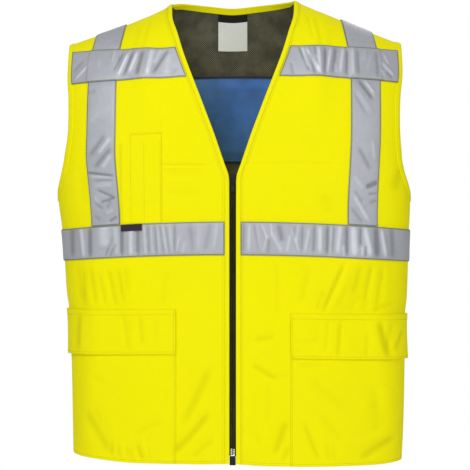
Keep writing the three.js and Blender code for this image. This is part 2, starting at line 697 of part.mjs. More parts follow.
function zipSlider() {
  const half = SLIDER_HEIGHT / 2;
  const crown = CROWN_HEIGHT / 2;
  const sunk = FRONT_PLATE[1] - SLIDER_PLATE / 2;
  const core = [BACK_PLATE[1] - GAP, FRONT_PLATE[0] + GAP];
  return join([
    sliderPlate(...FRONT_PLATE),
    sliderPlate(...BACK_PLATE),
    zipBlock(SLIDER_CORE_WIDTH, ...core, half - SLIDER_CORE_HEIGHT, half - GAP),
    zipBlock(CROWN_WIDTH, sunk, CROWN_TOP, crown - CROWN_WALL, crown),
    zipBlock(CROWN_WIDTH, sunk, CROWN_TOP, -crown, -crown + CROWN_WALL),
    zipBlock(CROWN_WIDTH, CROWN_TOP - CROWN_WALL, CROWN_TOP, -crown, crown),
  ]);
}

// Outline of a plate with cut corners, hanging down from a height
function plateOutline(path, width, top, bottom, corner) {
  const half = width / 2;
  path.moveTo(-half + corner, top);
  path.lineTo(-half, top - corner);
  path.lineTo(-half, bottom + corner);
  path.lineTo(-half + corner, bottom);
  path.lineTo(half - corner, bottom);
  path.lineTo(half, bottom + corner);
  path.lineTo(half, top - corner);
  path.lineTo(half - corner, top);
  path.closePath();
  return path;
}

// Pull tab: its top bar lies under the crown, and the tab hangs below
function zipPull() {
  const top = PULL_BAR / 2;
  const eyeTop = -PULL_BAR / 2;
  const shape = plateOutline(new THREE.Shape(), PULL_WIDTH, top, top - PULL_LENGTH, PULL_CORNER);
  const eyeBottom = eyeTop - PULL_EYE_LENGTH;
  const eye = plateOutline(new THREE.Path(), PULL_EYE_WIDTH, eyeTop, eyeBottom, PULL_CORNER / 3);
  shape.holes.push(eye);
  const tab = new THREE.ExtrudeGeometry(shape, { depth: PULL_WALL, bevelEnabled: false });
  return tab.rotateX(Math.PI / 2).translate(0, PULL_WALL / 2, 0);
}

function cloth(color, roughness = 0.85) {
  return new THREE.MeshStandardMaterial({ color, roughness, metalness: 0, side: THREE.DoubleSide });
}

const vest = new THREE.Group();

function add(name, geometry, material, parent = vest) {
  const mesh = new THREE.Mesh(geometry, material);
  mesh.name = name;
  parent.add(mesh);
  return mesh;
}

const yellowCloth = cloth(YELLOW);
const silverTape = cloth(SILVER, 0.45);
const blackTape = cloth(BLACK);
const hardPlastic = new THREE.MeshStandardMaterial({ color: SLATE, roughness: 0.4, metalness: 0.1 });

const SIDES = [{ name: 'right', side: -1 }, { name: 'left', side: 1 }];
const ZIP_TOP = SLIDER_DROP + SLIDER_HEIGHT / 2 - SLIDER_CORE_HEIGHT + GAP;
const BOX_TOP = BODY_LENGTH + BOX_OVERHANG - BOX_HEIGHT;
const ZIP_TAPE_INNER = CHAIN_WIDTH / 2 + GAP;
const ZIP_TAPE_LAYER = [-SHELL_WALL - GAP - ZIP_TAPE_WALL, -SHELL_WALL - GAP];

for (const { name, side } of SIDES) {
  const front = (rows, from, offsets) => frontCloth(side, rows, from, FRONT.side, offsets);
  add(`front_panel_${name}`, front(shellRows, FRONT.edge, flat(-SHELL_WALL, 0)), yellowCloth);
  add(`edge_band_${name}`, edgeBand(side), yellowCloth);
  add(`armhole_band_${name}`, armholeBand(side), yellowCloth);
  const waistRows = rowsBetween(WAIST_TAPE_BOTTOM, WAIST_TAPE_TOP);
  add(`waist_tape_${name}`, front(waistRows, FRONT.edge, flat(...TAPE_LAYER)), silverTape);
  const chestRows = rowsBetween(CHEST_TAPE_BOTTOM, CHEST_TAPE_TOP);
  add(`chest_tape_${name}`, front(chestRows, FRONT.tapeEnd, chestTapeOffsets), silverTape);
  add(`brace_tape_${name}`, braceTape(side), silverTape);
  const pocketRows = rowsBetween(BODY_LENGTH, FLAP_DROP);
  add(`pocket_${name}`, front(pocketRows, FRONT.pocket, flat(...POCKET_LAYER)), yellowCloth);
  const flapRows = rowsBetween(FLAP_BOTTOM, FLAP_DROP);
  add(`flap_${name}`, front(flapRows, FRONT.pocket, flapOffsets), yellowCloth);
  const zipOuter = ZIP_TAPE_INNER + ZIP_TAPE_WIDTH;
  const zipTape = zipStrip(side, ZIP_TAPE_INNER, zipOuter, BOX_TOP - GAP, ZIP_TOP, ZIP_TAPE_LAYER);
  add(`zip_tape_${name}`, zipTape, blackTape);
}

// Pen pocket on the wearer's right chest: its outer strip starts lower
const penRows = rowsBetween(WAIST_TAPE_TOP, PEN_POCKET_DROP);
const penTop = penRows.length - 1;
const stripTop = penRows.findIndex((row) => Math.abs(row.drop - PEN_STRIP_DROP) <= SEAM_GAP);
const penKept = (i, j) => j < FRONT.penStep - FRONT.penInner || i < (stripTop < 0 ? penTop : stripTop);
const penLayer = flat(...POCKET_LAYER);
const penPocket = frontCloth(-1, penRows, FRONT.penInner, FRONT.penOuter, penLayer, GAP, penKept);
add('pen_pocket', penPocket, yellowCloth);

const labelLayer = [TAPE_LAYER[1] + GAP, TAPE_LAYER[1] + GAP + LABEL_WALL];
const labelRows = rowsBetween(SIDE_LABEL_DROP, WAIST_TAPE_TOP);
const sideLabel = frontCloth(-1, labelRows, FRONT.label, FRONT.penOuter, flat(...labelLayer));
add('side_label', sideLabel, cloth(PLUM));

add('back_panel', backCloth(shellRows, BACK.side, flat(-SHELL_WALL, 0)), yellowCloth);
const backWaistRows = rowsBetween(WAIST_TAPE_BOTTOM, WAIST_TAPE_TOP);
add('waist_tape_back', backCloth(backWaistRows, BACK.side, flat(...TAPE_LAYER)), silverTape);
const liningRows = shellRows.slice(0, LEVEL_DROPS.length + FACING_ROW + 1);
add('back_lining', backCloth(liningRows, BACK.side, flat(...LINING_LAYER)), cloth(MESH));
const facingLayer = flat(LINING_LAYER[0] - GAP, LINING_LAYER[1]);
add('neck_facing', backCloth(rollRows.slice(FACING_ROW), BACK.neck, facingLayer, GAP), yellowCloth);
const padRows = rowsBetween(PAD_BOTTOM, PAD_DROP);
add('cooling_panel', backCloth(padRows, BACK.pad, padOffsets), cloth(BLUE));
const neckLabelLayer = flat(PAD_FACE - LABEL_WALL, PAD_FACE);
const neckLabelRows = rollRows.slice(LABEL_ROW, LABEL_HEAD_ROW + 1);
add('neck_label', backCloth(neckLabelRows, BACK.label, neckLabelLayer), cloth(WHITE));
const headRows = rollRows.slice(LABEL_HEAD_ROW, FACING_ROW + 1);
add('neck_label_head', backCloth(headRows, BACK.label, neckLabelLayer, GAP), cloth(BLACK));

const chain = zipStrip(1, -CHAIN_WIDTH / 2, CHAIN_WIDTH / 2, BOX_TOP - GAP, ZIP_TOP, CHAIN_LAYER);
add('zip_chain', chain, blackTape);

// Hard zip pieces stand in a frame that follows the cloth's slope
function zipFrame(drop) {
  const frame = new THREE.Group();
  const here = skin(1, -1, 0, -drop, 0);
  const slope = outward(0, here.y, -drop, -1);
  frame.position.copy(here);
  frame.rotation.x = Math.atan2(-slope.z, -slope.y);
  vest.add(frame);
  return frame;
}

const sliderFrame = zipFrame(SLIDER_DROP);
add('zip_slider', zipSlider(), hardPlastic, sliderFrame);
add('zip_pull', zipPull(), hardPlastic, sliderFrame).position.set(0, -PIVOT_OUT, PIVOT_UP);
const boxLayer = [CHAIN_LAYER[0] - (BOX_WALL - CHAIN_WALL) / 2, CHAIN_LAYER[1] + (BOX_WALL - CHAIN_WALL) / 2];
const zipBox = zipBlock(BOX_WIDTH, ...boxLayer, -BOX_HEIGHT / 2, BOX_HEIGHT / 2);
add('zip_box', zipBox, hardPlastic, zipFrame(BOX_TOP + BOX_HEIGHT / 2));

export default vest;
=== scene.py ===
"""Cooling vest: cloth, reflective tape, pockets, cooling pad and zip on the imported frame."""
import math

import bpy
import numpy as np
from bpy.props import FloatProperty, FloatVectorProperty, PointerProperty
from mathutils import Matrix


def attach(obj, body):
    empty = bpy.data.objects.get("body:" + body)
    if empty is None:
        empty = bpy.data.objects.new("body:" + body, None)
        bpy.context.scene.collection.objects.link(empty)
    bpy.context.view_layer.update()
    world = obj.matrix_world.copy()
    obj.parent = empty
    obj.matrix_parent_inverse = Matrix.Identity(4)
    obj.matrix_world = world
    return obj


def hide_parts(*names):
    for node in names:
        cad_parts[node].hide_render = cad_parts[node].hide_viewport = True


bl_info = {
    "name": "Cooling vest",
    "version": (1, 0, 0),
    "blender": (4, 5, 0),
    "location": "View3D > Sidebar > Vest",
    "description": "Builds a high-visibility cooling vest in its worn form",
    "category": "Object",
}

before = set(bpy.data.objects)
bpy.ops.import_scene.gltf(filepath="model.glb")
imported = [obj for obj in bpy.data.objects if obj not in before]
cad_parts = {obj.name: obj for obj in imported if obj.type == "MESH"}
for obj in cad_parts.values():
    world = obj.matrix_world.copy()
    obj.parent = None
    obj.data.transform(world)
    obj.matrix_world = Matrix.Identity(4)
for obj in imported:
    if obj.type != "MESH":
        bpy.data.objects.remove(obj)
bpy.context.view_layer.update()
MM = 0.001

# Body of the part's source, in millimetres; drops are measured down from the neck points
BODY_LENGTH = 718
HALF_WIDTH = 280
FRONT_DEPTH = 124
BACK_DEPTH = 116
NECK_HALF_WIDTH = 97
NECK_RISE = 45
SHOULDER_HALF_WIDTH = 263
SHOULDER_FALL = 62
SHOULDER_START = 1.2
SHOULDER_ROLL_DROP = 230
UNDERARM_DROP = 295
NECKLINE_DROP = 276
HEM_TILT = 0.022
FOLD_LIFT = 6

# Walls and the space between layers
GAP = 0.4
SEAM_GAP = 0.5
SHELL_WALL = 2
BAND_WALL = 2.8
BAND_WIDTH = 7
TAPE_LAYER = (0.4, 1.4)
OVER_TAPE_LAYER = (1.8, 2.8)
POCKET_LAYER = (0.4, 1.9)
LABEL_LAYER = (1.8, 2.6)
LINING_LAYER = (-3.6, -2.4)
FACING_LAYER = (-4.0, -2.4)
NECK_LABEL_LAYER = (-4.8, -4.0)
PAD_FACE = -4.0
CHAIN_LAYER = (-3.9, -1.3)
ZIP_TAPE_LAYER = (-3.4, -2.4)
FLAP_WALL = 2
FLAP_LIFT = 3.5

# Places of the parts on the body
PANEL_SET_IN = 7.4
COLUMN_STEP = 12
CHEST_TAPE_SETBACK = 1.8
BRACE_INNER = 181
BRACE_OUTER = 227
BRACE_DRIFT = 6
BRACE_LEAN = 12
POCKET_INNER = 88
PEN_POCKET_INNER = 109
SIDE_LABEL_INNER = 140
PEN_POCKET_STEP = 158
PEN_POCKET_OUTER = 173
NECK_LABEL_HALF_WIDTH = 24
PAD_HALF_WIDTH = 130
CHEST_TAPE_TOP = 74.5
CHEST_TAPE_BOTTOM = 121.5
WAIST_TAPE_TOP = 346
WAIST_TAPE_BOTTOM = 397.5
SIDE_LABEL_DROP = 356
FLAP_DROP = 485
FLAP_BOTTOM = 555
PEN_POCKET_DROP = 205
PEN_STRIP_DROP = 219
PAD_DROP = 105
PAD_BOTTOM = 249
CREASE_DROP = 260.7

# Zip
ZIP_EDGE = 5.2
CHAIN_WIDTH = 5
ZIP_TAPE_WIDTH = 10
ZIP_TOP = 282.9
BOX_TOP = 706
SLIDER_DROP = 282

# Body sections: share of the length down, then shares of the half width, front depth and back depth, and squareness
SECTIONS = np.array([
    (0.32, 0.986, 1.0, 1.0, 3.0),
    (0.37, 0.998, 1.0, 0.99, 2.9),
    (0.42, 0.996, 1.0, 0.98, 2.8),
    (0.5, 0.979, 0.98, 0.94, 2.6),
    (0.58, 0.971, 0.96, 0.93, 2.5),
    (0.64, 0.964, 0.95, 0.94, 2.4),
    (0.7, 0.944, 0.95, 0.96, 2.4),
    (0.8, 0.933, 0.94, 0.97, 2.4),
    (1.0, 0.918, 0.92, 0.96, 2.4),
])
NECKLINE = np.array([
    (0, 1), (0.11, 0.972), (0.2, 0.88), (0.3, 0.776), (0.435, 0.624), (0.55, 0.491), (0.667, 0.359),
    (0.764, 0.251), (0.928, 0.083), (1, 0.01), (1.08, 0), (4, 0),
])
ARMHOLES = np.array([
    (0, 0), (0.05, 0), (0.1, 0), (0.15, 0), (0.2, -3.6), (0.25, -4.5), (0.285, -3.4), (0.32, 0),
])
SHIFTS = np.array([
    (0, 4), (0.12, 4.3), (0.2, 3.1), (0.285, 2.1), (0.335, 0.6), (0.39, 1.8), (0.5, 5.1), (0.7, 7.1),
    (0.8, 8), (1, 7),
])
SAGS = np.array([(0, 0), (0.09, 0), (0.15, -0.01), (0.5, -0.017), (0.57, -0.013), (0.67, -0.005), (0.78, -0.006), (1, 0.006)])

# Unevenness from side to side: share of the half width, then millimetres up at the top, chest, hip and hem
RISES = np.array([
    (-1, -2, -3.5, 0.5, 0),
    (-0.85, -2, -3.5, 1.2, -3),
    (-0.6, -3.2, -3.6, 2, -5.5),
    (-0.42, -2.2, -3.4, 3, -4),
    (-0.36, -0.5, -2.6, 3.2, -3.6),
    (-0.3, 5, -1.5, 3.2, -3.2),
    (-0.15, 4, -0.5, 1.5, -2.2),
    (0, 1, 0, 0, -0.6),
    (0.15, 4.4, 0, 0.5, -2.8),
    (0.3, 6.6, 0, 1, -3.4),
    (0.36, 6, 0, 1.2, -3.8),
    (0.6, 4.8, 0, 2, -4),
    (0.8, 2.5, -0.5, 3.4, -4),
    (0.9, 0.3, -0.5, 4.2, -2),
    (1, 0, 0, 4.2, 0),
])

# Large folds that the solids have too: face, across, slant, top, bottom, width, lift
FOLDS = [
    (-1, -0.8, 0.05, 0.5, 1.1, 0.09, 1),
    (-1, -0.56, 0.02, 0.54, 0.72, 0.09, 0.7),
    (-1, 0.62, 0.5, 0.5, 0.7, 0.1, 0.8),
    (-1, 0.84, -0.1, 0.5, 1.1, 0.09, 0.9),
    (-1, -0.48, -0.1, 0.02, 0.32, 0.08, 0.8),
    (-1, 0.46, 0.1, 0.02, 0.32, 0.08, 0.8),
    (-1, -0.35, 0.3, 0.22, 0.48, 0.14, -0.5),
    (-1, 0.4, -0.3, 0.22, 0.48, 0.14, -0.5),
    (1, -0.45, 0.1, 0.3, 1.05, 0.12, 0.9),
    (1, 0.4, -0.1, 0.3, 1.05, 0.12, 0.9),
]

# Small creases in the cloth: face, x and z of both ends, width and height of the ridge, all in millimetres
CREASES = [
    (-1, -112, -259, -36, -259, 2.2, -1.2), (-1, -112, -263.5, -36, -263.5, 2, 0.9),
    (-1, 12, -256, 165, -257, 2, -0.8), (-1, 236, -259, 262, -261, 2.4, 0.9),
    (-1, -244, -266, -226, -264, 2.2, -0.6), (-1, -102, -273, -40, -273, 6, -0.6),
    (-1, -100, -287, -44, -285, 5, 0.6), (-1, -100, -300, -44, -302, 7, -0.6),
    (-1, 263, -262, 252, -298, 8, -1.6), (-1, -232, -270, -228, -320, 8, -0.8),
    (-1, -146, -38, -152, -76, 5, -0.8), (-1, -130, -28, -141, -80, 4, -0.9),
    (-1, 117, -20, 126, -62, 3.4, -1.0), (-1, 123, -28, 131, -70, 3, 0.6),
    (-1, 128, -20, 138, -76, 5, -0.9), (-1, 156, -40, 150, -76, 4, -0.5),
    (-1, -241, -410, -236, -472, 4, -1.0), (-1, -231, -418, -230, -477, 4, -1.3),
    (-1, -221, -414, -211, -474, 3.6, -1.3), (-1, -206, -424, -196, -477, 3.6, -1.1),
    (-1, -192, -418, -180, -477, 3.6, -1.4), (-1, -178, -416, -168, -472, 3.6, -1.1),
    (-1, -166, -412, -162, -455, 3.2, -0.9), (-1, -226, -436, -222, -477, 3, 0.6),
    (-1, -199, -428, -188, -478, 3, 0.6), (-1, -100, -420, -108, -478, 8, -0.7),
    (-1, 172, -410, 139, -484, 3.8, -2.4), (-1, 182, -410, 152, -480, 5.5, 1.2),
    (-1, 198, -412, 186, -458, 5, -1.3), (-1, 215, -412, 203, -474, 4, -1.5),
    (-1, 223, -412, 214, -470, 3.6, 0.8), (-1, 233, -414, 222, -482, 4, -1.4),
    (-1, 118, -414, 104, -474, 6, -0.8), (-1, 141, -450, 128, -484, 3.6, -1.2),
    (-1, 68, -408, 68, -492, 4, -0.8), (-1, 177, -448, 160, -477, 3, -0.8),
    (-1, 196, -460, 180, -484, 3, -0.8), (-1, 213, -466, 200, -485, 3, -0.8),
    (-1, 250, -472, 214, -485, 4, -1.1), (-1, 240, -412, 236, -476, 4, 0.7),
    (-1, -238, -488, -240, -545, 5, -1.3), (-1, -228, -492, -230, -548, 5, 1.0),
    (-1, -168, -488, -160, -545, 4, -0.9), (-1, -152, -490, -152, -545, 5, 0.6),
    (-1, -143, -488, -139, -538, 4, -1.1), (-1, -118, -490, -118, -534, 5, -0.6),
    (-1, 166, -498, 162, -557, 3.6, -1.4), (-1, 155, -500, 152, -552, 4, 0.5),
    (-1, 147, -498, 142, -548, 4, -0.9), (-1, 130, -504, 128, -534, 4, -0.5),
    (-1, 209, -516, 205, -558, 4, -0.8), (-1, 213, -500, 221, -552, 5, 1.2),
    (-1, 226, -500, 241, -558, 5.5, -2.2), (-1, 246, -502, 238, -545, 4, -1.0),
    (-1, 250, -528, 263, -503, 3.6, 0.9), (-1, 264, -516, 251, -548, 4, -1.3),
    (-1, 95, -532, 132, -530, 5, -0.5), (-1, 33, -528, 64, -523, 5, -1.3),
    (-1, 36, -517, 62, -514, 4, 0.6), (-1, 30, -566, 66, -587, 5, -1.3),
    (-1, 60, -585, 88, -583, 4, -0.8), (-1, 60, -576, 84, -573, 5, 0.6),
    (-1, 55, -596, 54, -655, 6, -0.7), (-1, 82, -652, 66, -704, 7, -1.7),
    (-1, 87, -692, 76, -714, 4, -1.4), (-1, 79, -688, 70, -712, 3.6, 0.9),
    (-1, 27, -652, 43, -688, 4, -0.9), (-1, 24, -640, 34, -668, 5, 0.6),
    (-1, 108, -652, 133, -714, 5, -1.3), (-1, 98, -650, 116, -712, 6, 0.6),
    (-1, 145, -686, 148, -714, 4, -0.8), (-1, 155, -688, 158, -714, 4, -0.7),
    (-1, 120, -588, 174, -638, 10, -0.7), (-1, 134, -642, 168, -684, 8, -0.7),
    (-1, 220, -598, 222, -678, 12, -0.9), (-1, 190, -692, 242, -674, 6, 1.0),
    (-1, 198, -712, 252, -682, 7, -1.8), (-1, 205, -624, 204, -646, 4, 0.6),
    (-1, 222, -570, 242, -640, 9, 1.3), (-1, 100, -568, 140, -566, 7, -0.8),
    (-1, -196, -622, -180, -694, 9, 0.9), (-1, -212, -636, -201, -660, 4, -0.8),
    (-1, -228, -640, -190, -704, 8, -1.4), (-1, -216, -588, -198, -592, 5, -0.7),
    (-1, -186, -686, -187, -708, 3, -1.1), (-1, -177, -686, -177, -706, 2.6, -1.1),
    (-1, -172, -688, -170, -710, 2.6, 1.0), (-1, -164, -692, -162, -712, 2.8, -1.1),
    (-1, -157, -698, -156, -714, 2.6, -1.1), (-1, -147, -690, -139, -714, 4, -1.6),
    (-1, -141, -678, -133, -708, 3.4, 0.9), (-1, -130, -692, -128, -712, 3, -0.9),
    (-1, -104, -650, -152, -672, 6, -0.7), (-1, -122, -668, -134, -690, 4, -0.5),
    (-1, -34, -570, -76, -660, 8, -1.4), (-1, -28, -602, -76, -682, 6, 0.8),
    (-1, -36, -640, -92, -704, 7, -1.9), (-1, -30, -664, -82, -710, 5, 0.8),
    (-1, -29, -680, -62, -708, 5, -1.1), (-1, 140, -300, 150, -336, 12, -0.8),
    (1, -120, -130, -60, -300, 16, 1.6), (1, 120, -130, 60, -300, 16, 1.6),
    (1, -40, -420, -90, -640, 14, 1.8), (1, 50, -410, 100, -650, 14, 1.6),
    (1, -200, -430, -180, -700, 9, 1.4), (1, 205, -430, 180, -690, 9, 1.4),
    (1, -230, -300, -200, -345, 8, 1.2), (1, 230, -300, 196, -345, 8, 1.2),
    (1, 0, -250, 10, -345, 14, -1.2), (1, 10, -430, -10, -700, 12, -1.3),
]

# Puckers of the reflective tapes, the same way
TAPE_PUCKERS = [
    (-1, -250, -350, -250, -402, 5, -1.0), (-1, -236, -352, -231, -402, 3.4, 1.2),
    (-1, -221, -352, -221, -402, 4, -1.2), (-1, -200, -350, -198, -386, 11, 1.0),
    (-1, -185, -370, -197, -400, 1.8, -0.9), (-1, -180, -380, -190, -400, 1.8, -0.9),
    (-1, -181, -352, -179, -400, 4, 0.7), (-1, -171, -350, -171, -400, 3.4, -1.3),
    (-1, -157, -354, -157, -400, 4, 1.1), (-1, -146, -350, -146, -400, 3.6, -1.2),
    (-1, -137, -350, -134, -398, 2.2, 0.8), (-1, -131, -350, -129, -398, 1.8, -0.8),
    (-1, -126, -350, -123, -398, 2, 0.7), (-1, -120, -350, -117, -398, 1.8, -0.8),
    (-1, -117, -350, -112, -398, 2, 0.7), (-1, -112, -350, -107, -398, 1.6, -0.7),
    (-1, -108, -350, -101, -398, 2, 0.8), (-1, -104, -350, -97, -398, 1.6, -0.7),
    (-1, -97, -350, -93, -396, 2.4, 0.7), (-1, -89, -350, -90, -398, 2.4, -0.9),
    (-1, -82, -368, -88, -396, 2.4, 0.8), (-1, -74, -378, -78, -396, 3, 0.6),
    (-1, -66, -350, -60, -396, 5, -0.6), (-1, -50, -348, -54, -394, 6, 0.5),
    (-1, -34, -348, -44, -394, 5, -0.6), (-1, -24, -348, -30, -390, 4, 0.7),
    (-1, 10, -346, 9, -396, 3, 0.9), (-1, 17, -346, 16, -396, 2.6, -0.9),
    (-1, 26, -347, 24, -394, 3, 0.9), (-1, 33, -350, 40, -392, 2.4, -0.8),
    (-1, 36, -348, 42, -392, 2.4, 0.8), (-1, 44, -350, 53, -372, 2, 0.9),
    (-1, 53, -368, 46, -394, 2, 0.8), (-1, 56, -372, 54, -396, 2.4, -0.9),
    (-1, 59, -347, 60, -368, 2.2, 0.9), (-1, 60, -364, 76, -394, 4, 0.8),
    (-1, 70, -350, 76, -378, 5, -1.0), (-1, 88, -366, 83, -394, 3, 0.9),
    (-1, 90, -358, 103, -394, 2.2, 0.9), (-1, 96, -352, 94, -372, 2.4, -0.8),
    (-1, 100, -350, 98, -378, 2.2, 0.7), (-1, 107, -350, 106, -394, 2.6, -0.9),
    (-1, 118, -356, 110, -394, 2.8, 0.9), (-1, 126, -350, 124, -396, 3, -1.0),
    (-1, 134, -352, 134, -396, 4.2, 1.2), (-1, 146, -350, 145, -398, 3.2, -1.3),
    (-1, 152, -350, 150, -398, 1.8, 0.9), (-1, 156, -352, 155, -396, 2, -0.8),
    (-1, 166, -350, 161, -396, 4.4, 1.1), (-1, 171, -382, 172, -400, 2.4, 0.9),
    (-1, 176, -350, 176, -400, 3.6, -1.4), (-1, 186, -352, 188, -400, 6, 1.3),
    (-1, 198, -352, 197, -384, 2.8, -1.1), (-1, 204, -354, 214, -400, 5, 1.2),
    (-1, 200, -382, 200, -400, 2.2, 0.9), (-1, 206, -384, 205, -400, 2, -0.9),
    (-1, 222, -352, 224, -402, 5.4, -1.4), (-1, 230, -356, 238, -402, 3, 1.3),
    (-1, 247, -354, 250, -404, 5, -0.9),
    (-1, -162, -84, -178, -120, 2.6, 1.3), (-1, -170, -82, -184, -112, 2.4, -0.9),
    (-1, -155, -82, -169, -120, 2.8, -1.1), (-1, -147, -82, -161, -116, 2.6, 1.2),
    (-1, -139, -80, -149, -120, 4, -1.2), (-1, -124, -77, -132, -120, 4.2, 1.3),
    (-1, -110, -78, -120, -102, 3.4, 0.8), (-1, -100, -80, -123, -118, 3, -1.3),
    (-1, -98, -84, -102, -120, 6, 0.6), (-1, -182, -72, -187, -98, 2, 0.7),
    (-1, -226, -102, -247, -125, 2.4, 0.9), (-1, -234, -94, -250, -112, 3, -0.6),
    (-1, -208, -90, -209, -106, 3, 0.4), (-1, -86, -108, -94, -120, 3, -0.5),
    (-1, 107, -74, 116, -108, 2.4, 0.9), (-1, 102, -74, 118, -114, 2.4, -1.1),
    (-1, 112, -74, 136, -118, 2.6, 0.9), (-1, 120, -86, 127, -120, 3, -0.9),
    (-1, 127, -72, 128, -88, 2, -0.9), (-1, 133, -73, 135, -116, 3, 1.2),
    (-1, 143, -74, 143, -122, 3.2, -1.2), (-1, 153, -74, 145, -120, 2.6, 1.2),
    (-1, 160, -74, 155, -116, 3.2, -1.1), (-1, 172, -74, 166, -116, 3.2, 1.2),
    (-1, 159, -100, 160, -116, 2.4, 0.8), (-1, 178, -76, 176, -120, 2.6, -1.1),
    (-1, 186, -72, 187, -120, 3.4, 1.0), (-1, 194, -76, 195, -120, 3.6, -0.8),
    (-1, 206, -76, 204, -96, 3.4, 0.5), (-1, 216, -84, 208, -114, 3, 0.5),
    (-1, 231, -96, 253, -119, 2.6, 0.9), (-1, 236, -83, 244, -100, 2.4, 0.7),
    (-1, 232, -108, 237, -120, 2.4, 0.7), (-1, 224, -78, 226, -122, 3, -0.8),
    (-1, 240, -112, 250, -122, 3, -0.8), (-1, 90, -100, 94, -120, 3, -0.6),
    (-1, -226, -148, -212, -142, 4, -0.5), (-1, -226, -196, -206, -178, 4, 0.4),
    (-1, -198, -214, -222, -246, 4, -0.9), (-1, -189, -218, -208, -242, 4, 1.0),
    (-1, -188, -234, -214, -264, 4, -1.0), (-1, -188, -244, -202, -264, 4, 0.9),
    (-1, -227, -270, -183, -276, 2.2, -1.6), (-1, -222, -277, -186, -279, 2.4, 0.7),
    (-1, -214, -283, -184, -282, 2.4, -0.9), (-1, -215, -292, -186, -290, 3, 0.6),
    (-1, -209, -297, -182, -309, 2.4, -1.1), (-1, -204, -317, -181, -309, 2.4, -1.1),
    (-1, -212, -318, -200, -327, 2.6, -0.7), (-1, -214, -306, -206, -318, 3, 0.6),
    (-1, -194, -326, -188, -314, 2.4, -0.7), (-1, -214, -336, -204, -344, 2.6, -0.7),
    (-1, -190, -346, -178, -338, 2.2, -1.2), (-1, -196, -334, -184, -328, 3, 0.7),
    (-1, 194, -126, 217, -157, 3.4, -1.2), (-1, 202, -124, 220, -148, 2.4, 0.9),
    (-1, 187, -146, 206, -180, 3, -0.5), (-1, 192, -142, 214, -176, 4, 0.5),
    (-1, 194, -232, 213, -266, 4, -0.8), (-1, 216, -220, 219, -252, 3.4, 0.6),
    (-1, 206, -293, 224, -285, 3.4, -2.0), (-1, 209, -304, 223, -302, 2.2, -0.9),
    (-1, 212, -317, 222, -313, 2.4, -0.9), (-1, 187, -298, 201, -317, 3, -0.7),
    (-1, 186, -276, 202, -296, 5, 0.6), (-1, 186, -304, 211, -347, 4, 0.9),
    (-1, 182, -324, 201, -348, 3, -0.7),
    (1, -180, -346, -186, -396, 5, 1.2), (1, -120, -346, -112, -396, 5, -1.0),
    (1, -60, -346, -66, -396, 5, 1.0), (1, 10, -346, 2, -396, 5, -1.0),
    (1, 70, -346, 80, -396, 5, 1.1), (1, 140, -346, 132, -396, 5, -1.0),
    (1, 200, -346, 206, -396, 5, 1.1), (1, -218, -180, -182, -190, 5, 0.8),
    (1, 184, -170, 218, -182, 5, 0.8), (1, -218, -260, -184, -250, 5, -0.8),
    (1, 184, -250, 218, -262, 5, -0.8),
]

SIDES = (("right", -1), ("left", 1))
SETTLING_PASSES = 8


def smoothstep(value, low, high):
    """Smooth rise from 0 at low to 1 at high."""
    t = np.clip((value - low) / (high - low), 0, 1)
    return t * t * (3 - 2 * t)


def read(table, column, down):
    """Smooth reading of one column of a table whose first column rises."""
    places = table[:, 0]
    at = np.clip(down, places[0], places[-1])
    k = np.clip(np.searchsorted(places, at, side="right") - 1, 0, len(places) - 2)
    values = table[:, column]
    before, after = np.maximum(k - 1, 0), np.minimum(k + 2, len(places) - 1)
    span = places[k + 1] - places[k]
    t = (at - places[k]) / span
    start = (values[k + 1] - values[before]) / (places[k + 1] - places[before]) * span
    end = (values[after] - values[k]) / (places[after] - places[k]) * span
    a, b = values[k], values[k + 1]
    return a + t * (start + t * (3 * (b - a) - 2 * start - end + t * (2 * (a - b) + start + end)))


def section(z, face):
    """Half width, depth and power of the body at a height."""
    down = -z / BODY_LENGTH
    front = FRONT_DEPTH * read(SECTIONS, 2, down)
    back = BACK_DEPTH * read(SECTIONS, 3, down)
    return HALF_WIDTH * read(SECTIONS, 1, down), np.where(face < 0, front, back), read(SECTIONS, 4, down)


def shoulder_line(x):
    """Height of the shoulder line, which arches over the neck."""
    span = SHOULDER_HALF_WIDTH - NECK_HALF_WIDTH
    t = (np.abs(x) - NECK_HALF_WIDTH) / span
    u = (x / NECK_HALF_WIDTH) ** 2
    slope = SHOULDER_FALL * SHOULDER_START * NECK_HALF_WIDTH / span
    arch = (2 * NECK_RISE - slope / 2) * (1 - u) + (slope / 2 - NECK_RISE) * (1 - u * u)
    fall = -SHOULDER_FALL * t * (SHOULDER_START + (1 - SHOULDER_START) * t)
    return np.where(t >= 0, fall, arch)


def roll_share(x, z):
    return (z + SHOULDER_ROLL_DROP) / (shoulder_line(x) + SHOULDER_ROLL_DROP)


def neck_edge(z):
    return ZIP_EDGE + (NECK_HALF_WIDTH - ZIP_EDGE) * read(NECKLINE, 1, -z / NECKLINE_DROP)


def depth_at(z, face, x):
    half, depth, power = section(z, face)
    return depth * np.maximum(1 - (np.abs(x) / half) ** power, 1e-9) ** (1 / power)


def angle_at_x(z, face, x):
    half, _, power = section(z, face)
    return np.arcsin(np.clip(x / half, 0, 1) ** (power / 2))


def outside(x, y, z, face):
    """Zero on the body surface and more outside it."""
    half, depth, power = section(z, face)
    trunk = (np.abs(x) / half) ** power + (np.abs(y) / depth) ** power - 1
    shoulder = (y / depth_at(z, face, x)) ** 2 + roll_share(x, z) ** 2 - 1
    return np.where(z <= -SHOULDER_ROLL_DROP, trunk, shoulder)


def outward(x, y, z, face):
    """Unit normal of the body surface."""
    step = 0.5
    slope = np.stack([
        outside(x + step, y, z, face) - outside(x - step, y, z, face),
        outside(x, y + step, z, face) - outside(x, y - step, z, face),
        outside(x, y, z + step, face) - outside(x, y, z - step, face),
    ], axis=-1)
    return slope / np.linalg.norm(slope, axis=-1, keepdims=True)


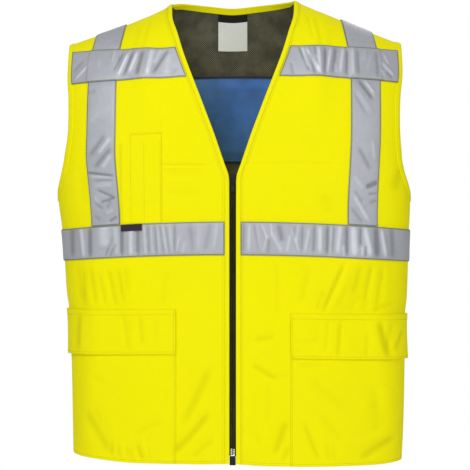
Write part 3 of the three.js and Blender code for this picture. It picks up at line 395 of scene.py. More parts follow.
def fold_lift(x, z, face):
    """Height of the large folds over the smooth body."""
    down = -z / BODY_LENGTH
    lift = np.zeros(np.broadcast(x, z).shape)
    for side, across, slant, top, bottom, width, height in FOLDS:
        middle = across * HALF_WIDTH + slant * BODY_LENGTH * ((top + bottom) / 2 - down)
        spread = (x - middle) / (width * HALF_WIDTH)
        fade = np.sin(math.pi * np.clip((down - top) / (bottom - top), 0, 1))
        lift += np.where(face == side, FOLD_LIFT * height * fade * np.exp(-spread * spread), 0)
    return lift


def ridges(table, x, z, face):
    """Sum of the soft ridges in a table."""
    lift = np.zeros(np.broadcast(x, z).shape)
    for side, x0, z0, x1, z1, width, height in table:
        length = math.hypot(x1 - x0, z1 - z0)
        along = ((x - x0) * (x1 - x0) + (z - z0) * (z1 - z0)) / length ** 2
        across = ((x - x0) * (z1 - z0) - (z - z0) * (x1 - x0)) / length / width
        fade = smoothstep(along, -0.12, 0.2) * (1 - smoothstep(along, 0.8, 1.12))
        lift += np.where(face == side, height * fade * np.exp(-across * across), 0)
    return lift


def unevenness(x, down):
    """How much the cloth stands higher or lower than it would if both sides were alike."""
    across = x / HALF_WIDTH
    low = smoothstep(down, 0.04, 0.12)
    lift = read(RISES, 1, across) * (1 - low)
    lift += read(RISES, 2, across) * (low - smoothstep(down, 0.2, 0.42))
    lift += read(RISES, 3, across) * (smoothstep(down, 0.55, 0.65) - smoothstep(down, 0.77, 0.92))
    return lift + read(RISES, 4, across) * smoothstep(down, 0.8, 1)


def settled(side, face, angle, z):
    """Places across and up where points of the body surface come to rest."""
    half, _, power = section(z, face)
    down = -z / BODY_LENGTH
    x = side * half * np.sin(angle) ** (2 / power)
    out = (x / half) ** 2
    tilt = smoothstep(down, 0.52, 0.67) * HEM_TILT * x
    return (x + read(SHIFTS, 1, down) * out,
            z + read(SAGS, 1, down) * BODY_LENGTH * out - tilt + unevenness(x, down))


def skin(side, face, angle, z, offset, seam=SEAM_GAP):
    """Points of the body surface, pushed out by an offset, in millimetres."""
    half, depth, power = section(z, face)
    reach = half * np.sin(angle) ** (2 / power)
    share = np.clip(roll_share(reach, z), -1, 1)
    roll = np.where(z > -SHOULDER_ROLL_DROP, np.sqrt(np.maximum(1 - share ** 2, 0)), 1)
    x = side * reach
    y = face * np.maximum(depth * np.maximum(np.cos(angle), 0) ** (2 / power) * roll, seam / 2)
    across, height = settled(side, face, angle, z)
    rise = offset + fold_lift(x, z, face) + ridges(CREASES, across, height, face)
    push = outward(x, y, z, face) * rise[..., None]
    return np.stack([across + push[..., 0], y + push[..., 1], height + push[..., 2]], axis=-1)


def outer_angle(z, face, set_in):
    """Angle of a panel's outer edge: the armhole above, the side seam below."""
    _, depth, power = section(z, face)
    drop = (-SHOULDER_ROLL_DROP - z) / (UNDERARM_DROP + set_in - SHOULDER_ROLL_DROP)
    start = depth_at(np.float64(-SHOULDER_ROLL_DROP), face, SHOULDER_HALF_WIDTH - set_in)
    open_y = np.maximum(start * np.sqrt(np.maximum(1 - drop * drop, 0)), SEAM_GAP / 2)
    under = np.arccos(np.clip(open_y / depth, 0, 1) ** (power / 2))
    above = angle_at_x(z, face, SHOULDER_HALF_WIDTH + read(ARMHOLES, 1, -z / BODY_LENGTH) - set_in)
    return np.where(z >= -SHOULDER_ROLL_DROP, above, under)


FRONT_COLUMNS = (POCKET_INNER, PEN_POCKET_INNER, SIDE_LABEL_INNER, PEN_POCKET_STEP, PEN_POCKET_OUTER)
BACK_COLUMNS = (NECK_LABEL_HALF_WIDTH, 0.62 * NECK_HALF_WIDTH, 0.88 * NECK_HALF_WIDTH, NECK_HALF_WIDTH, PAD_HALF_WIDTH)
BRACE_COLUMNS = (BRACE_INNER, (BRACE_INNER + BRACE_OUTER) / 2, BRACE_OUTER)
SIDE_SHARES = (0.36, 0.7, 1)
FRONT_BRACE, FRONT_SIDE = 7, 12
BACK_BRACE, BACK_SIDE = 6, 11


def column_angle(face, column, z):
    """Angle of a column, whole or between two, at a height."""
    lean = BRACE_LEAN * (1 - smoothstep(-z / BODY_LENGTH, 0.03, 0.15))
    if face < 0:
        places = [neck_edge(z) + PANEL_SET_IN]
        places.append(places[0] + CHEST_TAPE_SETBACK)
        for place in FRONT_COLUMNS:
            places.append(np.maximum(place - lean, places[-1] + COLUMN_STEP))
    else:
        places = [np.zeros_like(z)]
        places += [np.full_like(z, place) for place in BACK_COLUMNS]
    drift = lean + BRACE_DRIFT * smoothstep(-z / BODY_LENGTH, 0.3, 0.47)
    places += [place - drift for place in BRACE_COLUMNS]
    places = np.stack(places)
    last = len(places) - 1
    outer = outer_angle(z, face, PANEL_SET_IN)
    inner = angle_at_x(z, face, places[last])
    whole = np.clip(np.floor(column).astype(int), 0, last - 1)
    share = np.clip(column - whole, 0, 1)
    low = np.take_along_axis(places, whole[None], 0)[0]
    high = np.take_along_axis(places, whole[None] + 1, 0)[0]
    near = angle_at_x(z, face, low + (high - low) * share)
    turn = np.interp(column, last + np.arange(4), (0, *SIDE_SHARES))
    return np.where(column <= last, near, inner + (outer - inner) * turn)


def height_of(row, x):
    """Height of a row at x: a drop if it is above 0, or else a share of the roll over the shoulder."""
    share = -np.minimum(row, 0)
    start = np.arcsin(np.clip(roll_share(x, -CHEST_TAPE_TOP), 0, 1))
    end = np.arcsin(np.clip(roll_share(x, np.minimum(shoulder_line(x), 0)), 0, 1))
    over = -SHOULDER_ROLL_DROP + (shoulder_line(x) + SHOULDER_ROLL_DROP) * np.sin(start + (end - start) * share)
    return np.where(row > 0, -row, over)


def stations(face, columns, rows):
    """Angles and heights where columns meet rows."""
    column, row = np.meshgrid(np.asarray(columns, float), np.asarray(rows, float))
    z = height_of(row, np.full(row.shape, float(SHOULDER_HALF_WIDTH)))
    angle = column_angle(face, np.abs(column), z)
    for _ in range(SETTLING_PASSES):
        half, _, power = section(z, face)
        z = height_of(row, half * np.sin(angle) ** (2 / power))
        angle = column_angle(face, np.abs(column), z)
    return angle, z


def steps(marks, lengths, size):
    """Numbers from mark to mark, in steps whose length is about size."""
    out = [marks[0]]
    for start, end, length in zip(marks, marks[1:], lengths):
        count = max(1, round(length / size))
        out += list(np.linspace(start, end, count + 1)[1:])
    return out


FRONT_GAPS = (2, 74, 22, 31, 18, 15, 12, 22, 22, 26, 26, 26)
BACK_GAPS = (24, 36, 26, 12, 33, 49, 22, 22, 30, 30, 30)


def columns_between(face, start, end, size):
    gaps = FRONT_GAPS if face < 0 else BACK_GAPS
    return steps(list(range(start, end + 1)), gaps[start:end], size)


def rows_between(low, high, size):
    """Rows from a low drop up to a high one; a high of -1 is the shoulder line."""
    if high > 0:
        return list(np.linspace(low, high, max(2, round((low - high) / size)) + 1))
    rows = list(np.linspace(low, CHEST_TAPE_TOP, round((low - CHEST_TAPE_TOP) / size) + 1))
    return rows + list(-np.linspace(0, -high, round(150 * -high / size) + 1)[1:])


# Meshes

def closed_grid(outer, inner, keep=None, ring=False):
    """Faces of a closed solid between two grids of points, with both grids' vertices."""
    rows, columns = outer.shape[:2]
    count = rows * columns
    index = np.arange(count).reshape(rows, columns)
    if keep is None:
        keep = np.ones((rows - 1, columns - 1), bool)
    a, b = index[:-1, :-1][keep], index[1:, :-1][keep]
    c, d = index[1:, 1:][keep], index[:-1, 1:][keep]
    faces = [np.stack([a, b, c, d], 1), np.stack([a, d, c, b], 1) + count]
    padded_keep = np.pad(keep, 1)
    for di, dj, first, second in ((0, -1, 0, 1), (1, 0, 1, 2), (0, 1, 2, 3), (-1, 0, 3, 0)):
        beside = padded_keep[1 + di:1 + di + rows - 1, 1 + dj:1 + dj + columns - 1]
        rim = keep & ~beside
        corners = [index[:-1, :-1], index[1:, :-1], index[1:, 1:], index[:-1, 1:]]
        p, q = corners[first][rim], corners[second][rim]
        faces.append(np.stack([p, p + count, q + count, q], 1))
    points = np.concatenate([outer.reshape(-1, 3), inner.reshape(-1, 3)])
    return points, np.concatenate(faces)


def surface_volume(points, faces):
    """Six times the volume inside a closed quad mesh."""
    p = points[faces]
    one = np.einsum("ij,ij->i", np.cross(p[:, 0], p[:, 1]), p[:, 2])
    two = np.einsum("ij,ij->i", np.cross(p[:, 0], p[:, 2]), p[:, 3])
    return float((one + two).sum())


def mesh_object(name, points, faces, uvs=None, smooth=True):
    """Object of a mesh in metres, from points in millimetres and faces of one size."""
    used, faces = np.unique(faces, return_inverse=True)
    faces = faces.reshape(-1, faces.shape[-1] if faces.ndim > 1 else 4)
    points = np.asarray(points)[used]
    mesh = bpy.data.meshes.new(name)
    mesh.from_pydata((points * MM).tolist(), [], faces.tolist())
    mesh.validate()
    if uvs is not None:
        layer = mesh.uv_layers.new(name="cloth")
        loops = np.empty(len(mesh.loops), np.int32)
        mesh.loops.foreach_get("vertex_index", loops)
        layer.data.foreach_set("uv", (np.asarray(uvs)[used][loops] * MM).astype(np.float32).ravel())
    mesh.polygons.foreach_set("use_smooth", np.full(len(mesh.polygons), smooth))
    made = bpy.data.objects.new(name, mesh)
    bpy.context.scene.collection.objects.link(made)
    return made


def flat_places(outer):
    """Cloth coordinates of a grid: lengths along its rows and up its columns."""
    across = np.linalg.norm(np.diff(outer, axis=1), axis=2)
    along = np.linalg.norm(np.diff(outer, axis=0), axis=2)
    u = np.concatenate([np.zeros((outer.shape[0], 1)), np.cumsum(across, 1)], 1)
    v = np.concatenate([np.zeros((1, outer.shape[1])), np.cumsum(along, 0)], 0)
    u -= u.mean(axis=1, keepdims=True) * 0.5
    return np.stack([u, v], -1)


def edge_distance(outer, keep=None):
    """Distance of each point from the piece's own outline, along rows and columns."""
    place = flat_places(outer)
    u, v = place[..., 0], place[..., 1]
    side = np.minimum(u - u[:, :1], u[:, -1:] - u)
    end = np.minimum(v - v[:1], v[-1:] - v)
    return side, end


def add_attribute(piece, name, values):
    attribute = piece.data.attributes.new(name, "FLOAT", "POINT")
    attribute.data.foreach_set("value", np.asarray(values, np.float32))


def add_relief(piece):
    """Height of the creases, and of the puckers too on a tape, for the shade painted into the cloth in their hollows
    and the highlights painted on the tapes' crests.
    """
    points = mesh_points(piece) / MM
    face = np.where(points[:, 1] < 0, -1, 1)
    add_attribute(piece, "crease", ridges(CREASES, points[:, 0], points[:, 2], face))
    add_attribute(piece, "pucker", ridges(TAPE_PUCKERS, points[:, 0], points[:, 2], face))


def cloth_piece(name, outer, inner, material, replaces=None, keep=None, body="vest", sharp=35):
    """A closed cloth piece that stands for its CAD node."""
    points, faces = closed_grid(outer, inner, keep)
    if surface_volume(points, faces) < 0:
        faces = faces[:, ::-1]
    places = flat_places(outer).reshape(-1, 2)
    side, end = edge_distance(outer)
    used = np.unique(faces)
    made = mesh_object(name, points, faces, np.concatenate([places, places]))
    rim = np.concatenate([side.ravel(), side.ravel()])[used]
    tip = np.concatenate([end.ravel(), end.ravel()])[used]
    add_attribute(made, "side_edge", rim * MM)
    add_attribute(made, "end_edge", tip * MM)
    add_relief(made)
    finish_piece(made, material, replaces or name, body)
    smooth_by_angle(made, sharp)
    return made


def smooth_by_angle(piece, degrees):
    bpy.ops.object.select_all(action="DESELECT")
    bpy.context.view_layer.objects.active = piece
    piece.select_set(True)
    bpy.ops.object.shade_smooth_by_angle(angle=math.radians(degrees))
    piece.select_set(False)


def finish_piece(piece, material, replaces=None, body="vest"):
    piece.data.materials.clear()
    piece.data.materials.append(material)
    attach(piece, body)
    if replaces:
        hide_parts(*([replaces] if isinstance(replaces, str) else replaces))
    return piece


def declare_sheet(outer):
    """Works out a sheet's width and length from its grid's longest row and column, and does nothing more with them."""
    width = np.linalg.norm(np.diff(outer, axis=1), axis=2).sum(1).max() * MM
    length = np.linalg.norm(np.diff(outer, axis=0), axis=2).sum(0).max() * MM
    width, length = max(width, 0.0101), max(length, 0.0101)


def grid_normals(outer):
    """Unit normals of a grid of points."""
    across = np.gradient(outer, axis=1)
    along = np.gradient(outer, axis=0)
    normal = np.cross(across, along)
    return normal / np.maximum(np.linalg.norm(normal, axis=2, keepdims=True), 1e-9)


# Stitches

STITCH_PITCH = 3.2
STITCH_LENGTH = 2.3
STITCH_HALF_WIDTH = 0.32
STITCH_HALF_HEIGHT = 0.28


def stitches_along(path, lift, pitch=STITCH_PITCH):
    """Points and faces of stitches along a path of points, lifted along their normals."""
    step = np.linalg.norm(np.diff(path, axis=0), axis=1)
    along = np.concatenate([[0], np.cumsum(step)])
    count = int(along[-1] / pitch)
    if count < 1:
        return np.zeros((0, 3)), np.zeros((0, 4), int)
    middle = (np.arange(count) + 0.5) * pitch

    def at(places, values):
        return np.stack([np.interp(places, along, values[:, k]) for k in range(3)], 1)

    centre = at(middle, path)
    normal = at(middle, lift)
    normal /= np.linalg.norm(normal, axis=1, keepdims=True)
    run = at(middle + 0.5, path) - at(middle - 0.5, path)
    run /= np.maximum(np.linalg.norm(run, axis=1, keepdims=True), 1e-9)
    wide = np.cross(run, normal)
    centre = centre + normal * 0.1
    half = STITCH_LENGTH / 2
    ring = [(1, 0), (0, 1), (-1, 0), (0, -1)]
    points = []
    for share in (-0.55, 0.55):
        for w, h in ring:
            points.append(centre + run * half * share + wide * STITCH_HALF_WIDTH * w + normal * STITCH_HALF_HEIGHT * h)
    for end in (-1, 1):
        for w, h in ring:
            tip = centre + run * half * end - normal * 0.25
            points.append(tip + wide * STITCH_HALF_WIDTH * 0.4 * w + normal * STITCH_HALF_HEIGHT * 0.4 * h)
    points = np.stack(points, 1)
    faces = []
    for k in range(4):
        n = (k + 1) % 4
        faces += [(k, n, 4 + n, 4 + k), (8 + k, 8 + n, n, k), (4 + k, 4 + n, 12 + n, 12 + k)]
    faces += [(11, 10, 9, 8), (12, 13, 14, 15)]
    faces = np.array(faces)[None] + (np.arange(count) * 16)[:, None, None]
    return points.reshape(-1, 3), faces.reshape(-1, 4)


SEAMS = {}


def seam(group, path, normals):
    """Keeps a run of stitches for the stitching operator."""
    SEAMS.setdefault(group, []).append((np.asarray(path), np.asarray(normals)))


def grid_seams(group, outer, inset_rows=(), inset_columns=()):
    """Stitch runs along rows and columns of a grid, which may lie between two lines."""
    sign = 1
    normals = grid_normals(outer) * sign
    middle = outer[outer.shape[0] // 2, outer.shape[1] // 2]
    if normals[outer.shape[0] // 2, outer.shape[1] // 2] @ (middle - np.array([0, 0, middle[2]])) < 0:
        normals = -normals
    for distance in inset_rows:
        seam(group, *inset(outer, normals, distance, 0))
    for distance in inset_columns:
        seam(group, *inset(outer, normals, distance, 1))


def inset(outer, normals, distance, axis):
    """Line at a distance from a grid's first row or column, or from its last when the distance is below 0."""
    grid = outer if axis == 0 else outer.transpose(1, 0, 2)
    slopes = normals if axis == 0 else normals.transpose(1, 0, 2)
    if distance < 0:
        grid, slopes = grid[::-1], slopes[::-1]
    along = np.concatenate([np.zeros((1, grid.shape[1])), np.cumsum(np.linalg.norm(np.diff(grid, axis=0), axis=2), 0)])
    target = abs(distance)
    path, lift = [], []
    for j in range(grid.shape[1]):
        path.append([np.interp(target, along[:, j], grid[:, j, k]) for k in range(3)])
        lift.append([np.interp(target, along[:, j], slopes[:, j, k]) for k in range(3)])
    return np.array(path), np.array(lift)


# Shader arithmetic

class Wire:
    """A socket that adds Math nodes when it is used in Python arithmetic."""

    def __init__(self, maker, socket):
        self.maker = maker
        self.socket = socket

    def math(self, operation, *values):
        return self.maker.node("ShaderNodeMath", {"operation": operation}, dict(enumerate(values)))

    def __add__(self, other):
        return self.math("ADD", self, other)

    def __radd__(self, other):
        return self.math("ADD", other, self)

    def __sub__(self, other):
        return self.math("SUBTRACT", self, other)

    def __rsub__(self, other):
        return self.math("SUBTRACT", other, self)

    def __mul__(self, other):
        return self.math("MULTIPLY", self, other)

    def __rmul__(self, other):
        return self.math("MULTIPLY", other, self)

    def __truediv__(self, other):
        return self.math("DIVIDE", self, other)

    def __lt__(self, other):
        return self.math("LESS_THAN", self, other)

    def __gt__(self, other):
        return self.math("GREATER_THAN", self, other)


class Finish:
    """A material under construction."""

    def __init__(self, name, **uniform):
        self.material = bpy.data.materials.new(name)
        self.material.use_nodes = True
        self.tree = self.material.node_tree
        self.tree.nodes.clear()
        self.output = self.tree.nodes.new("ShaderNodeOutputMaterial")
        self.shader = self.tree.nodes.new("ShaderNodeBsdfPrincipled")
        self.tree.links.new(self.shader.outputs[0], self.output.inputs["Surface"])
        for socket, value in uniform.items():
            self.shader.inputs[socket.replace("_", " ")].default_value = value

    def node(self, kind, settings=None, sockets=None, out=0):
        made = self.tree.nodes.new(kind)
        for key, value in (settings or {}).items():
            if key == "stops":
                ramp = made.color_ramp
                while len(ramp.elements) < len(value):
                    ramp.elements.new(0.5)
                for element, (place, colour) in zip(ramp.elements, value):
                    element.position = place
                    element.color = colour
            else:
                setattr(made, key, value)
        for key, value in (sockets or {}).items():
            self.link(made.inputs[key], value)
        return Wire(self, made.outputs[out])

    def link(self, target, value):
        if isinstance(value, Wire):
            self.tree.links.new(value.socket, target)
        else:
            target.default_value = value

    def feed(self, socket, value):
        self.link(self.shader.inputs[socket], value)

    def uv(self):
        return self.node("ShaderNodeUVMap", {"uv_map": "cloth"})

    def place(self):
        return self.node("ShaderNodeTexCoord", out=3)

    def parts(self, vector):
        first = self.node("ShaderNodeSeparateXYZ", None, {0: vector})
        made = first.socket.node
        return [Wire(self, made.outputs[k]) for k in range(3)]

    def attribute(self, name):
        return self.node("ShaderNodeAttribute", {"attribute_name": name}, out=2)

    def sine(self, value):
        return value.math("SINE", value)

    def noise(self, vector, scale, detail=2.0, roughness=0.5):
        return self.node("ShaderNodeTexNoise", None, {
            "Vector": vector, "Scale": scale, "Detail": detail, "Roughness": roughness})

    def fit(self, value, low, high, to_low=0.0, to_high=1.0):
        return self.node("ShaderNodeMapRange", {"interpolation_type": "SMOOTHSTEP"}, {
            "Value": value, "From Min": low, "From Max": high, "To Min": to_low, "To Max": to_high})

    def blend(self, factor, a, b, how="MIX"):
        return self.node("ShaderNodeMix", {"data_type": "RGBA", "blend_type": how}, {0: factor, 6: a, 7: b}, out=2)

    def bump(self, height, distance, strength=1.0, normal=None):
        sockets = {"Height": height, "Distance": distance, "Strength": strength}
        if normal is not None:
            sockets["Normal"] = normal
        return self.node("ShaderNodeBump", None, sockets)


def rgb(red, green, blue):
    """Linear colour, with alpha, of an sRGB colour in whole numbers."""
    def linear(value):
        share = value / 255
        return share / 12.92 if share <= 0.04045 else ((share + 0.055) / 1.055) ** 2.4
    return (linear(red), linear(green), linear(blue), 1.0)


def shade(colour, share):
    return (colour[0] * share, colour[1] * share, colour[2] * share, 1.0)


def woven(finish, pitch):
    """Height of a plain weave in the piece's own cloth coordinates."""
    u, v, _ = finish.parts(finish.uv())
    turn = 2 * math.pi / pitch
    over = finish.sine(u * turn)
    under = finish.sine(v * turn)
    return over * under


def yellow_cloth(colours):
    """Fluorescent knitted polyester."""
    base = (*colours.cloth, 1.0)
    made = Finish("yellow_cloth", Specular_IOR_Level=0.12)
    # A faint glow in the cloth's own colour: painted light that stands in for the fluorescence.
    made.shader.inputs["Emission Strength"].default_value = 0.1
    place = made.place()
    cloud = made.noise(place, 9, 3, 0.55)
    speck = made.noise(place, 420, 2, 0.6)
    tone = made.fit(cloud, 0.3, 0.7)
    cloth = made.blend(tone, shade(base, 0.975), base)
    cloth = made.blend(made.fit(speck, 0.35, 0.65), shade(base, 0.975), cloth)
    # Darker along each piece's edges: partly wear, partly painted shade of the seam groove.
    worn = made.fit(made.attribute("side_edge").math("MINIMUM", made.attribute("side_edge"),
                                                     made.attribute("end_edge")), 0.0, 0.0022)
    cloth = made.blend(worn, shade(base, 0.86), cloth)
    # Painted shade: the cloth is darker in the creases' hollows.
    crease = made.attribute("crease")
    cloth = made.blend(made.fit(crease, -2.4, 0), shade(base, 0.8), cloth)
    made.feed("Base Color", cloth)
    made.feed("Emission Color", cloth)
    made.feed("Roughness", made.fit(cloud, 0.3, 0.7, 0.78, 0.9))
    weave = woven(made, 0.0011)
    height = weave * 0.5 + speck * 0.8 + cloud * 0.2
    made.feed("Normal", made.bump(height, 0.00018, 0.5))
    return made.material


def silver_tape(colours):
    """Reflective tape: fine glass beads on a grey ground, with painted shade in its puckers' hollows, painted
    highlights on their crests, and a darker line of painted shade where it is sewn.
    """
    base = (*colours.tape, 1.0)
    made = Finish("silver_tape", Specular_IOR_Level=0.5)
    place = made.place()
    u, v, _ = made.parts(made.uv())
    cloud = made.noise(place, 38, 4, 0.6)
    grain = made.noise(place, 900, 2, 0.6)
    edge = made.attribute("end_edge").math("MINIMUM", made.attribute("end_edge"), made.attribute("side_edge"))
    tone = made.blend(made.fit(cloud, 0.3, 0.72), shade(base, 0.82), shade(base, 1.02))
    tone = made.blend(made.fit(grain, 0.38, 0.62), shade(base, 0.92), tone)
    # Painted shade in the puckers' hollows and a painted highlight on their crests.
    pucker = made.attribute("pucker")
    tone = made.blend(made.fit(pucker, -1.5, 0.1), shade(base, 0.5), tone)
    tone = made.blend(made.fit(pucker, 0.1, 1.3) * 0.75, tone, shade(base, 1.45))
    # Painted shade: a darker line along the tape's edges, for the groove where it is sewn.
    tone = made.blend(made.fit(edge, 0.0012, 0.0026), shade(base, 0.46), tone)
    made.feed("Base Color", tone)
    made.feed("Metallic", made.fit(cloud, 0.3, 0.7, 0.2, 0.32))
    made.feed("Roughness", made.fit(cloud, 0.25, 0.75, 0.46, 0.58))
    ripple = made.noise(made.uv(), 130, 3, 0.55)
    twill = made.sine((u + v) * (2 * math.pi / 0.0016))
    height = ripple * 0.9 + twill * 0.06 + grain * 0.12
    made.feed("Normal", made.bump(height, 0.0011, 0.5))
    return made.material


def lining_mesh(colours):
    """Dark open mesh with olive knots on the slant; its holes are painted near black, as the shade seen through them.
    """
    made = Finish("lining_mesh", Roughness=0.9, Specular_IOR_Level=0.15)
    u, v, _ = made.parts(made.uv())
    pitch = 0.0034

    def cell(value):
        share = (value / pitch).math("FRACT", value / pitch) - 0.5
        return share * share

    near = cell(u + v) + cell(u - v)
    hole = made.fit(near, 0.03, 0.09)
    cloud = made.noise(made.place(), 30, 3, 0.6)
    thread = made.blend(made.fit(cloud, 0.3, 0.7), rgb(*MESH_THREAD_DARK), rgb(*MESH_THREAD))
    # Painted shade: the holes get a near-black colour for the shaded shell seen through them.
    made.feed("Base Color", made.blend(hole, rgb(*MESH_HOLE_SHADE), thread))
    made.feed("Normal", made.bump(hole * 1.0 + cloud * 0.2, 0.0005, 0.7))
    return made.material


MESH_THREAD = (116, 114, 98)
MESH_THREAD_DARK = (88, 87, 78)
MESH_HOLE_SHADE = (20, 20, 24)


def cooling_cloth(colours):
    """Smooth blue cloth over the cooling pad."""
    base = (*colours.pad, 1.0)
    made = Finish("cooling_cloth", Specular_IOR_Level=0.45, Sheen_Weight=0.25)
    place = made.place()
    cloud = made.noise(place, 22, 4, 0.6)
    x, y, z = made.parts(place)
    # Painted light: the pad turns a paler blue towards its upper left.
    lit = made.fit(x * -1.0 + z * 0.9, -0.13, 0.06)
    tone = made.blend(made.fit(cloud, 0.3, 0.7), shade(base, 0.78), shade(base, 1.15))
    tone = made.blend(lit * 0.6, tone, rgb(128, 180, 225))
    edge = made.attribute("side_edge").math("MINIMUM", made.attribute("side_edge"), made.attribute("end_edge"))
    tone = made.blend(made.fit(edge, 0.003, 0.0045), rgb(26, 36, 56), tone)
    made.feed("Base Color", tone)
    made.feed("Roughness", made.fit(cloud, 0.3, 0.7, 0.5, 0.68))
    weave = woven(made, 0.0009)
    made.feed("Normal", made.bump(weave * 0.35 + cloud * 1.6, 0.0008, 0.5))
    return made.material


def plain_cloth(name, colour, pitch=0.0009, roughness=0.85, low=0.78):
    """Woven ribbon or thread of one colour."""
    made = Finish(name, Specular_IOR_Level=0.3)
    base = rgb(*colour)
    cloud = made.noise(made.place(), 900, 3, 0.6)
    made.feed("Base Color", made.blend(made.fit(cloud, 0.3, 0.7), shade(base, low), shade(base, 2 - low)))
    made.feed("Roughness", made.fit(cloud, 0.3, 0.7, roughness - 0.08, roughness + 0.06))
    height = woven(made, pitch) * 0.5 + cloud * 0.5 if pitch else cloud * 1.0
    made.feed("Normal", made.bump(height, 0.0003, 0.6))
    return made.material


def zip_plastic(name, colour, roughness=0.42):
    """Moulded plastic with fine grain and lighter patches that follow a noise."""
    made = Finish(name, Specular_IOR_Level=0.25)
    base = rgb(*colour)
    place = made.place()
    cloud = made.noise(place, 260, 3, 0.6)
    grain = made.noise(place, 2600, 2, 0.5)
    worn = made.fit(cloud, 0.52, 0.72)
    made.feed("Base Color", made.blend(worn * 0.4, base, shade(base, 1.4)))
    made.feed("Roughness", made.fit(cloud, 0.3, 0.7, roughness - 0.08, roughness + 0.12))
    made.feed("Normal", made.bump(grain, 0.00006, 0.4))
    return made.material


MATERIALS = {}


def material(name):
    """A finish by its name, made when it is first asked for."""
    if name not in MATERIALS:
        colours = bpy.context.scene.vest_colours
        makers = {
            "yellow_cloth": lambda: yellow_cloth(colours),
            "silver_tape": lambda: silver_tape(colours),
            "lining_mesh": lambda: lining_mesh(colours),
            "cooling_cloth": lambda: cooling_cloth(colours),
            "black_tape": lambda: plain_cloth("black_tape", (20, 19, 12)),
            "dark_label": lambda: plain_cloth("dark_label", (52, 44, 58)),
            "pale_label": lambda: plain_cloth("pale_label", (247, 250, 255), 0.0007, 0.9, 0.96),
            "head_label": lambda: plain_cloth("head_label", (30, 30, 32)),
            "yellow_thread": lambda: plain_cloth("yellow_thread", (206, 200, 30), 0),
            "tape_thread": lambda: plain_cloth("tape_thread", (200, 202, 60), 0),
            "blue_thread": lambda: plain_cloth("blue_thread", (96, 122, 160), 0),
            "zip_plastic": lambda: zip_plastic("zip_plastic", (30, 34, 34), 0.6),
            "zip_teeth": lambda: zip_plastic("zip_teeth", (24, 22, 14), 0.7),
        }
        MATERIALS[name] = makers[name]()
    return MATERIALS[name]


# Settings

class VestSizes(bpy.types.PropertyGroup):
    """Sizes that a user may change."""
    cloth_step: FloatProperty(name="Cloth step", description="Distance between the lines of the large panels",
                              default=3.6, min=2, max=12)
    tape_step: FloatProperty(name="Tape step", description="Distance between the lines of the tapes",
                             default=1.8, min=1, max=8)
    pucker: FloatProperty(name="Pucker", description="Height of the tapes' puckers as a share", default=1.0,
                          min=0, max=2)
    camera_distance: FloatProperty(name="Camera distance", description="Distance from the camera to the middle",
                                   default=3.2, unit="LENGTH")


class VestColours(bpy.types.PropertyGroup):
    """Colours that a user may change."""
    cloth: FloatVectorProperty(name="Cloth", description="Colour of the shell", subtype="COLOR", size=3,
                               default=rgb(243, 236, 0)[:3], min=0, max=1)
    tape: FloatVectorProperty(name="Tape", description="Colour of the reflective tape", subtype="COLOR", size=3,
                              default=rgb(190, 193, 200)[:3], min=0, max=1)
    pad: FloatVectorProperty(name="Pad", description="Colour of the cooling pad", subtype="COLOR", size=3,
                             default=rgb(70, 124, 214)[:3], min=0, max=1)


def sizes():
    return bpy.context.scene.vest_sizes


def front_grid(side, start, end, rows, offset, size, extra=None):
    """Grid of points on one front; offset is a number or a function of column, row share and place."""
    columns = columns_between(-1, start, end, size)
    angle, z = stations(-1, columns, rows)
    column = np.broadcast_to(np.asarray(columns)[None], z.shape)
    share = np.broadcast_to(np.linspace(0, 1, len(rows))[:, None], z.shape)
    lift = offset(column, share) if callable(offset) else np.full(z.shape, float(offset))
    if extra is not None:
        lift = lift + extra(side, -1, angle, z)
    return skin(side, -1, angle, z, lift)


def back_grid(end, rows, offset, size, extra=None):
    half = columns_between(1, 0, end, size)
    columns = [-c for c in half[:0:-1]] + half
    angle, z = stations(1, columns, rows)
    side = np.broadcast_to(np.where(np.asarray(columns) < 0, -1.0, 1.0)[None], z.shape)
    column = np.broadcast_to(np.asarray(columns)[None], z.shape)
    share = np.broadcast_to(np.linspace(0, 1, len(rows))[:, None], z.shape)
    lift = offset(column, share) if callable(offset) else np.full(z.shape, float(offset))
    if extra is not None:
        lift = lift + extra(side, 1, angle, z)
    return skin(side, 1, angle, z, lift)


def tape_pucker(side, face, angle, z):
    """Puckers of a tape, which only stand out from the cloth."""
    lift = ridges(TAPE_PUCKERS, *settled(side, face, angle, z), face) + 0.9
    return np.maximum(lift, 0) * sizes().pucker


def pinned(extra, width=5.0):
    """Keeps the outer rows of a grid down, where it is sewn."""
    def held(side, face, angle, z):
        lift = extra(side, face, angle, z)
        rows = z.shape[0]
        row = np.arange(rows)[:, None] * np.ones(z.shape)
        near = np.minimum(row, rows - 1 - row)
        return lift * np.clip(0.25 + near / 3, 0, 1)
    return held


# Operators

